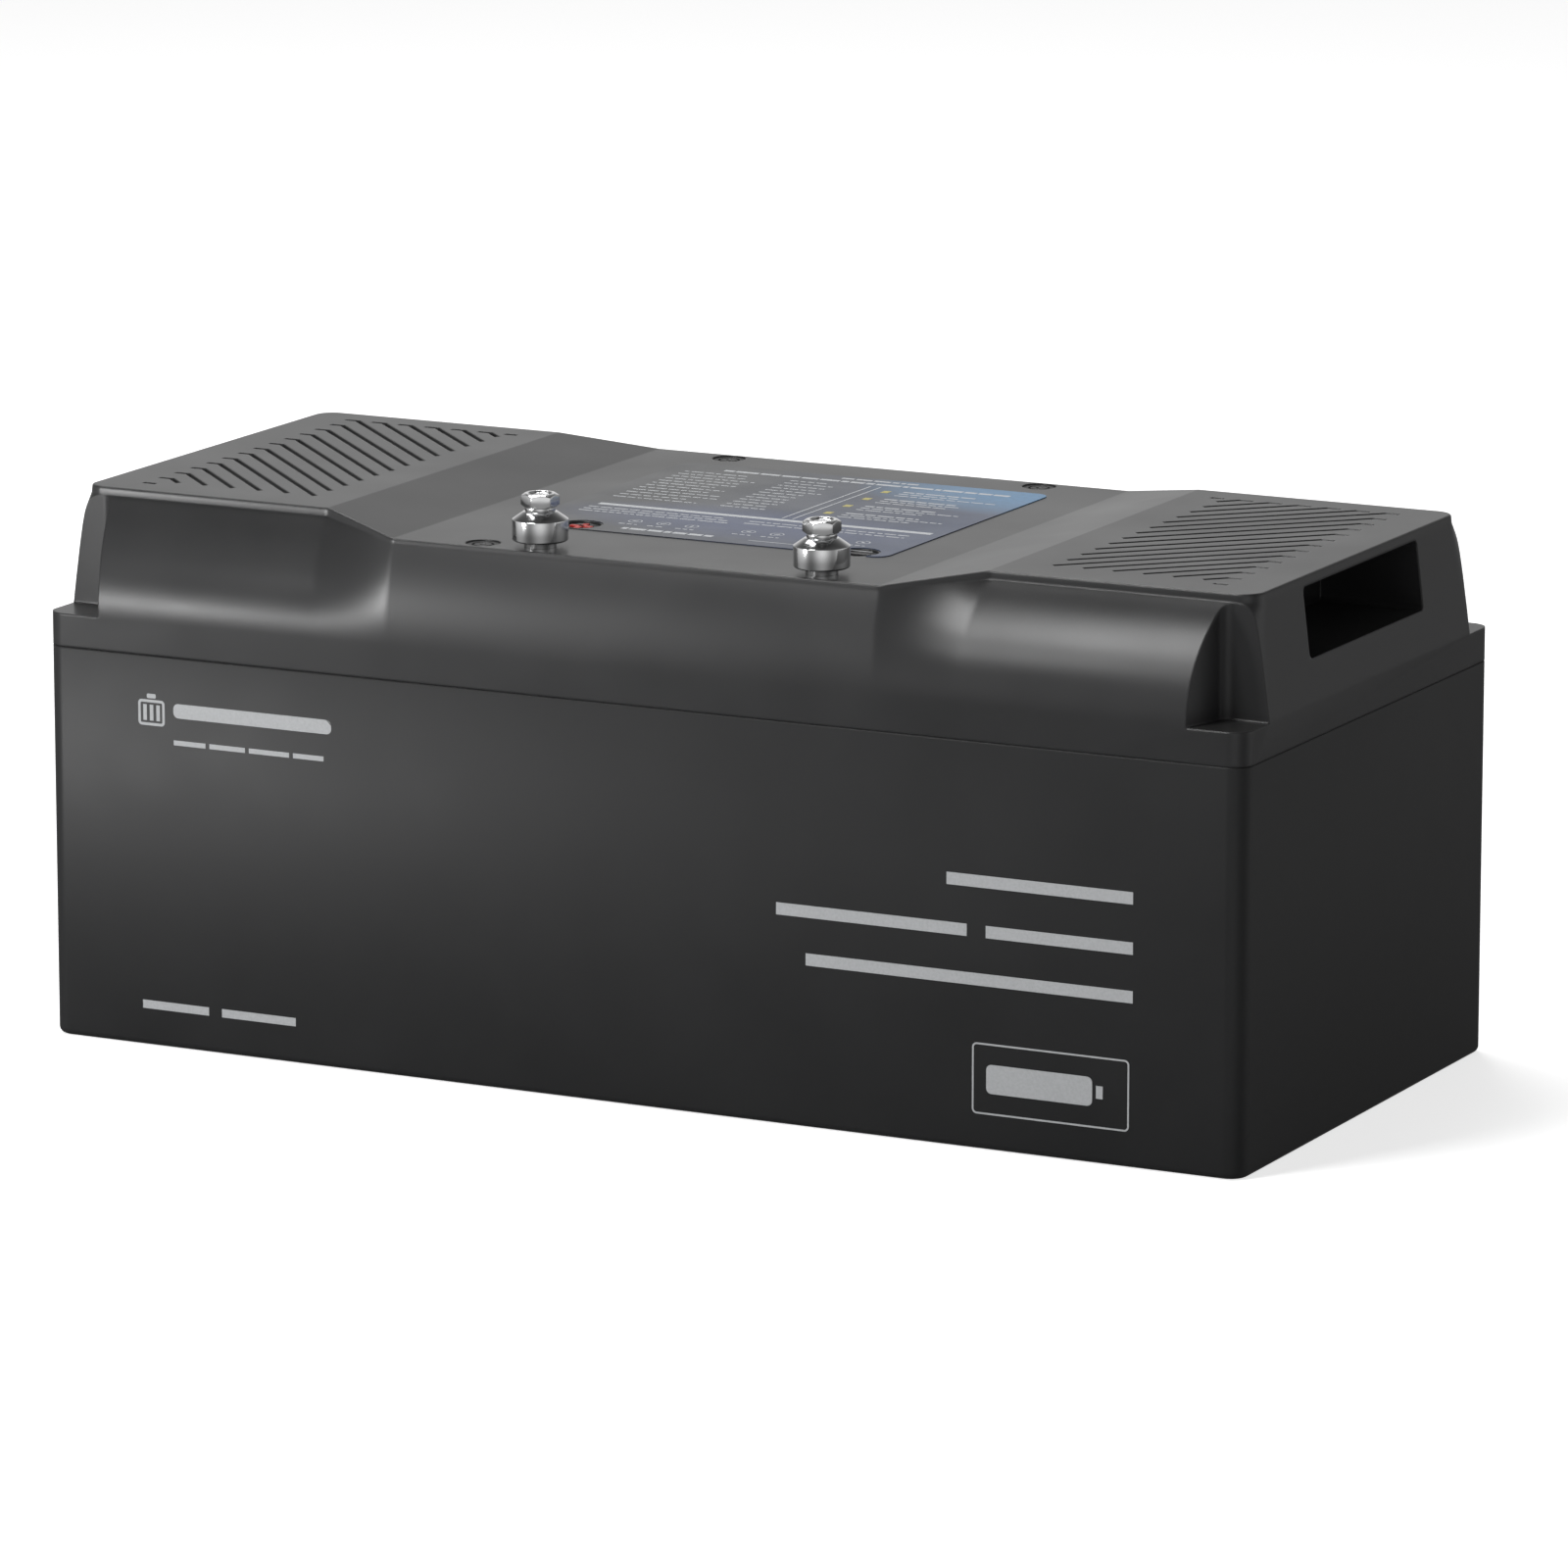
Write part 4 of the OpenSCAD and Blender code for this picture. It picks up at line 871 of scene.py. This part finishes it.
def add_bolt_head(bm, z):
    """Hexagon head whose corners are turned off above and below, with a dished top."""
    flat, high = 6.5, 5.3
    outline = [(0, 0), (6.3, 0), (7.0, 0.2), (7.0, high - 0.2), (6.0, high), (4.7, high),
               (4.3, high - 0.7), (0, high - 0.85)]
    lathe(bm, [(r * MM, (z + h) * MM) for r, h in outline])
    for v in bm.verts:
        if v.co.xy.length < 6.9 * MM:
            continue
        angle = math.atan2(v.co.y, v.co.x)
        reach = hexagon_reach(angle, flat)
        if v.co.z > (z + high / 2) * MM:
            height = high - max(0, reach - 6.0) / 1.6
        else:
            height = max(0, reach - 6.3) / 1.6
        v.co = Vector((reach * math.cos(angle), reach * math.sin(angle), z + height)) * MM


def add_thread(bm, z, turns):
    """A screw thread that runs down from z, wound as a closed ridge on a plain core."""
    pitch, crest, root = THREAD_PITCH, THREAD_CREST, THREAD_ROOT
    ridge = [(root - 0.3, 0.0), (root, 0.06 * pitch), (crest, 0.42 * pitch), (crest, 0.54 * pitch),
             (root, 0.9 * pitch), (root - 0.3, 0.96 * pitch)]
    start = z - (turns + 1.3) * pitch
    verts = [bm.verts.new((r * MM, 0, (start + h) * MM)) for r, h in ridge]
    face = bm.faces.new(verts)
    steps = 32
    bmesh.ops.spin(bm, geom=[face], cent=(0, 0, 0), axis=(0, 0, 1), dvec=(0, 0, pitch * MM / steps),
                   angle=2 * math.pi * turns, steps=int(steps * turns), use_merge=False)


def make_bolt(name, x, y):
    """Bolt with a threaded shank that goes down into the post."""
    z = POST_Z + BOLT_SEAT
    shank = [(0, -14), (2.6, -14), (3.3, -13.2), (3.3, -1.2), (4.0, -0.6), (4.0, 0.1), (0, 0.1)]
    core = bmesh.new()
    lathe(core, [(r * MM, (z + h) * MM) for r, h in shank], steps=32)
    add_bolt_head(core, z)
    ease(core, 0.18 * MM, 3, 24, keep=lambda e: min(v.co.z for v in e.verts) > z * MM - 1e-6)
    add_thread(core, z, 9.0)
    bmesh.ops.translate(core, verts=core.verts, vec=(x * MM, y * MM, 0))
    piece = finished(f"{name}_bolt_hexagon", core, FINISHES["plated_bolt"], body=f"{name}_bolt", sharp=40)
    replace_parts(piece, f"{name}_bolt")


# ---------- plugs and polarity inserts ----------

def make_plugs():
    """Four press-in plugs: rounded rim, shallow ring groove and a small dimple."""
    top = POST_Z - 0.5
    outline = [(0, top - 0.35), (1.0, top - 0.3), (1.4, top), (3.6, top), (3.7, top - 0.55),
               (4.3, top - 0.55), (4.4, top), (6.75, top), (6.75, top - 1.9), (0, top - 1.9)]
    bm = bmesh.new()
    lathe(bm, [(r * MM, h * MM) for r, h in outline], steps=64)
    ease(bm, 0.15 * MM, 2, 35)
    first = list(bm.verts) + list(bm.edges) + list(bm.faces)
    for x, y in SCREWS[1:]:
        twin = bmesh.ops.duplicate(bm, geom=first)["geom"]
        bmesh.ops.translate(bm, verts=[v for v in twin if isinstance(v, bmesh.types.BMVert)],
                            vec=(x * MM, y * MM, 0))
    bmesh.ops.translate(bm, verts=[v for v in first if isinstance(v, bmesh.types.BMVert)],
                        vec=(SCREWS[0][0] * MM, SCREWS[0][1] * MM, 0))
    piece = finished("screw_plug_caps", bm, FINISHES["plug_plastic"])
    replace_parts(piece, "screw_plugs")


def make_sign(name, place, turns, finish):
    """Dark disc set in its recess, with a rounded raised bar for each turn: two make a plus, one a minus."""
    low = POST_Z - 1.6
    disc = bmesh.new()
    lathe(disc, [(r * MM, h * MM) for r, h in [(0, low), (7.7, low), (7.7, low + 0.8), (6.9, low + 0.8),
                                               (6.7, low + 0.65), (0, low + 0.65)]], steps=64)
    ease(disc, 0.12 * MM, 2, 30)
    bars = bmesh.new()
    for turn in turns:
        bar = bmesh.new()
        slab(bar, (0, 0, (low + 0.95) * MM), (10 * MM, 2.4 * MM, 0.7 * MM), turn)
        upright = [e for e in bar.edges if abs(e.verts[0].co.z - e.verts[1].co.z) > 0.1 * MM]
        bmesh.ops.bevel(bar, geom=upright, offset=0.6 * MM, segments=4, profile=0.5,
                        affect="EDGES", material=-1)
        ease(bar, 0.15 * MM, 2, 40)
        mesh = bpy.data.meshes.new("bar")
        bar.to_mesh(mesh)
        bar.free()
        bars.from_mesh(mesh)
        bpy.data.meshes.remove(mesh)
    for part, bm, look in (("disc", disc, FINISHES["black_insert"]), ("sign", bars, finish)):
        bmesh.ops.translate(bm, verts=bm.verts, vec=(place[0] * MM, place[1] * MM, 0))
        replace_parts(finished(f"{name}_{part}", bm, look), f"{name}_mark")


# ---------- printing ----------

LABEL_PRINT_THICK, FRONT_PRINT_THICK, FRONT_PRINT_IN, RING_THICK = 0.03, 0.05, 0.03, 0.45

def stripe(bm, x0, x1, y, thick, lift):
    """A printed bar on the label, from x0 to x1."""
    slab(bm, ((x0 + x1) / 2 * MM, y * MM, lift), ((x1 - x0) * MM, thick * MM, LABEL_PRINT_THICK * MM))


def word_row(bm, chance, x0, x1, y, thick, lift, longest=7.0):
    """A row of short bars with gaps, like a line of small print seen from afar."""
    x = x0
    while x < x1 - 1:
        length = min(chance.uniform(1.8, longest), x1 - x)
        stripe(bm, x, x + length, y, thick, lift)
        x += length + 0.9


def ring_mark(bm, x, y, radius, lift):
    """A thin printed ring."""
    thick = RING_THICK
    rim = bmesh.ops.create_circle(bm, segments=28, radius=(radius - thick) * MM,
                                  matrix=Matrix.Translation((x * MM, y * MM, lift)))["verts"]
    edges = list({e for v in rim for e in v.link_edges})
    grown = bmesh.ops.extrude_edge_only(bm, edges=edges)
    outer = [v for v in grown["geom"] if isinstance(v, bmesh.types.BMVert)]
    bmesh.ops.scale(bm, verts=outer, vec=(radius / (radius - thick),) * 2 + (1,),
                    space=Matrix.Translation((-x * MM, -y * MM, -lift)))
    flat = [f for f in grown["geom"] if isinstance(f, bmesh.types.BMFace)]
    for f in flat:
        f.normal_update()
    bmesh.ops.reverse_faces(bm, faces=[f for f in flat if f.normal.z < 0])


def make_label_print():
    """Generic printing on the label: title bars, a table, a coloured list, a rule and a row of symbols."""
    chance = random.Random(12)
    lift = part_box("top_label")[1].z + 0.02 * MM
    white = bmesh.new()
    yellow = bmesh.new()
    word_row(white, chance, -8, 28, 83.2, 2.0, lift, 10)
    word_row(white, chance, -58, 70, 77, 2.6, lift, 12)
    for row in range(12):
        y = 69 - 5.6 * row
        word_row(white, chance, -72, chance.uniform(-44, -30), y, 1.1, lift, 6)
        word_row(white, chance, -24, chance.uniform(-8, 4), y, 1.1, lift, 6)
    for x in (10.5, 15.0):
        slab(white, (x * MM, 33 * MM, lift), (0.7 * MM, 78 * MM, LABEL_PRINT_THICK * MM))
    for block in range(4):
        y = 66 - 17 * block
        slab(yellow, (21.5 * MM, (y - 2.5) * MM, lift), (3.2 * MM, 4.2 * MM, LABEL_PRINT_THICK * MM))
        word_row(white, chance, 28, 60, y, 1.5, lift, 9)
        for row in range(1, 3):
            word_row(white, chance, 28, chance.uniform(52, 76), y - 4 * row, 1.1, lift, 7)
    stripe(white, -69, 78, -10, 3.6, lift)
    for row in range(3):
        word_row(white, chance, -70, -10 + 4 * row, -17 - 4.2 * row, 1.1, lift, 7)
    for row in range(2):
        word_row(white, chance, 2, 72, -18 - 4.6 * row, 1.1, lift, 7)
    for k in range(9):
        x = -38 + 12.5 * k
        if k in (3, 6):
            continue
        ring_mark(white, x, -38, 2.9, lift)
        slab(white, (x * MM, -38 * MM, lift), (2.4 * MM, 1.0 * MM, LABEL_PRINT_THICK * MM), 0.7 * k)
        word_row(white, chance, x - 4, x + 4, -44.5, 0.9, lift, 3)
    word_row(white, chance, -36, 4, -53, 3.0, lift, 9)
    stripe(white, 20, 74, -54, 0.6, lift)
    finished("label_print", white, PRINT_WHITE)
    finished("label_colour_marks", yellow, PRINT_YELLOW)


def front_bar(bm, x0, x1, z0, z1, round_off=0.45):
    """A bar printed on the front of the case, with slightly rounded ends."""
    start = len(bm.verts)
    slab(bm, ((x0 + x1) / 2 * MM, -half_w + FRONT_PRINT_IN * MM, (z0 + z1) / 2 * MM),
         ((x1 - x0) * MM, FRONT_PRINT_THICK * MM, (z1 - z0) * MM))
    bm.verts.ensure_lookup_table()
    new = bm.verts[start:]
    corners = {e for v in new for e in v.link_edges if abs(e.verts[0].co.y - e.verts[1].co.y) > 0.02 * MM}
    bmesh.ops.bevel(bm, geom=list(corners), offset=min(round_off * (z1 - z0), 2.2) * MM, segments=6,
                    profile=0.5, affect="EDGES", material=-1)


def front_frame(bm, x0, x1, z0, z1, radius, thick):
    """A thin rounded frame printed on the front of the case."""
    front_bar(bm, x0, x1, z0, z1, radius / (z1 - z0))
    face = max((f for f in bm.faces if f.normal.y < -0.9), key=lambda f: f.calc_area())
    back = max((f for f in bm.faces if f.normal.y > 0.9), key=lambda f: f.calc_area())
    for side in (face, back):
        bmesh.ops.inset_region(bm, faces=[side], thickness=thick * MM, use_even_offset=True)
    loops = [list(side.edges) for side in (face, back)]
    bmesh.ops.delete(bm, geom=[face, back], context="FACES_ONLY")
    bmesh.ops.bridge_loops(bm, edges=loops[0] + loops[1])


def make_front_print():
    """Generic marks on the front: a battery symbol and bars where a maker would put words."""
    frame_print = bmesh.new()
    front_frame(frame_print, 148.5, 214.4, 14.1, 42.0, 2.0, 0.7)
    front_bar(frame_print, 154.5, 199, 22.4, 33.8, 0.2)
    front_bar(frame_print, 200.6, 203.4, 25.6, 30.6, 0.2)
    symbol_print = bmesh.new()
    front_frame(symbol_print, -218.6, -206.5, 130.6, 141.0, 1.6, 1.1)
    front_bar(symbol_print, -214.6, -210.5, 141.6, 143.4, 0.3)
    for x in (-216.3, -213.3, -210.3):
        front_bar(symbol_print, x, x + 1.6, 132.6, 139.0, 0.3)
    bars = bmesh.new()
    front_bar(bars, -202.5, -130.8, 134.6, 140.4)
    for x0, x1 in ((-202.5, -188), (-186.2, -170), (-168.2, -150), (-148.2, -134.4)):
        front_bar(bars, x0, x1, 123.6, 125.6)
    for x0, x1 in ((-218.4, -188), (-182, -148.3)):
        front_bar(bars, x0, x1, 15.2, 18.6)
    for x0, x1, z in ((137.4, 215.4, 104.8), (64.8, 146, 85.4), (154, 215.5, 85.4), (77.5, 215.6, 66.6)):
        front_bar(bars, x0, x1, z - 2.4, z + 2.4)
    for name, mesh in (("front_frame_print", frame_print), ("front_symbol_print", symbol_print),
                       ("front_bar_print", bars)):
        bmesh.ops.recalc_face_normals(mesh, faces=mesh.faces)
        finished(name, mesh, PRINT_GREY)


make_case()
make_lid()
for side, (x, y) in POST_PARTS.items():
    make_post(side, x, y)
    make_washer(side, x, y)
    make_bolt(side, x, y)
make_plugs()
make_sign("positive", MARKS[0], (0, math.pi / 2), FINISHES["red_insert"])
make_sign("negative", MARKS[1], (0,), FINISHES["black_insert"])
make_label_print()
make_front_print()
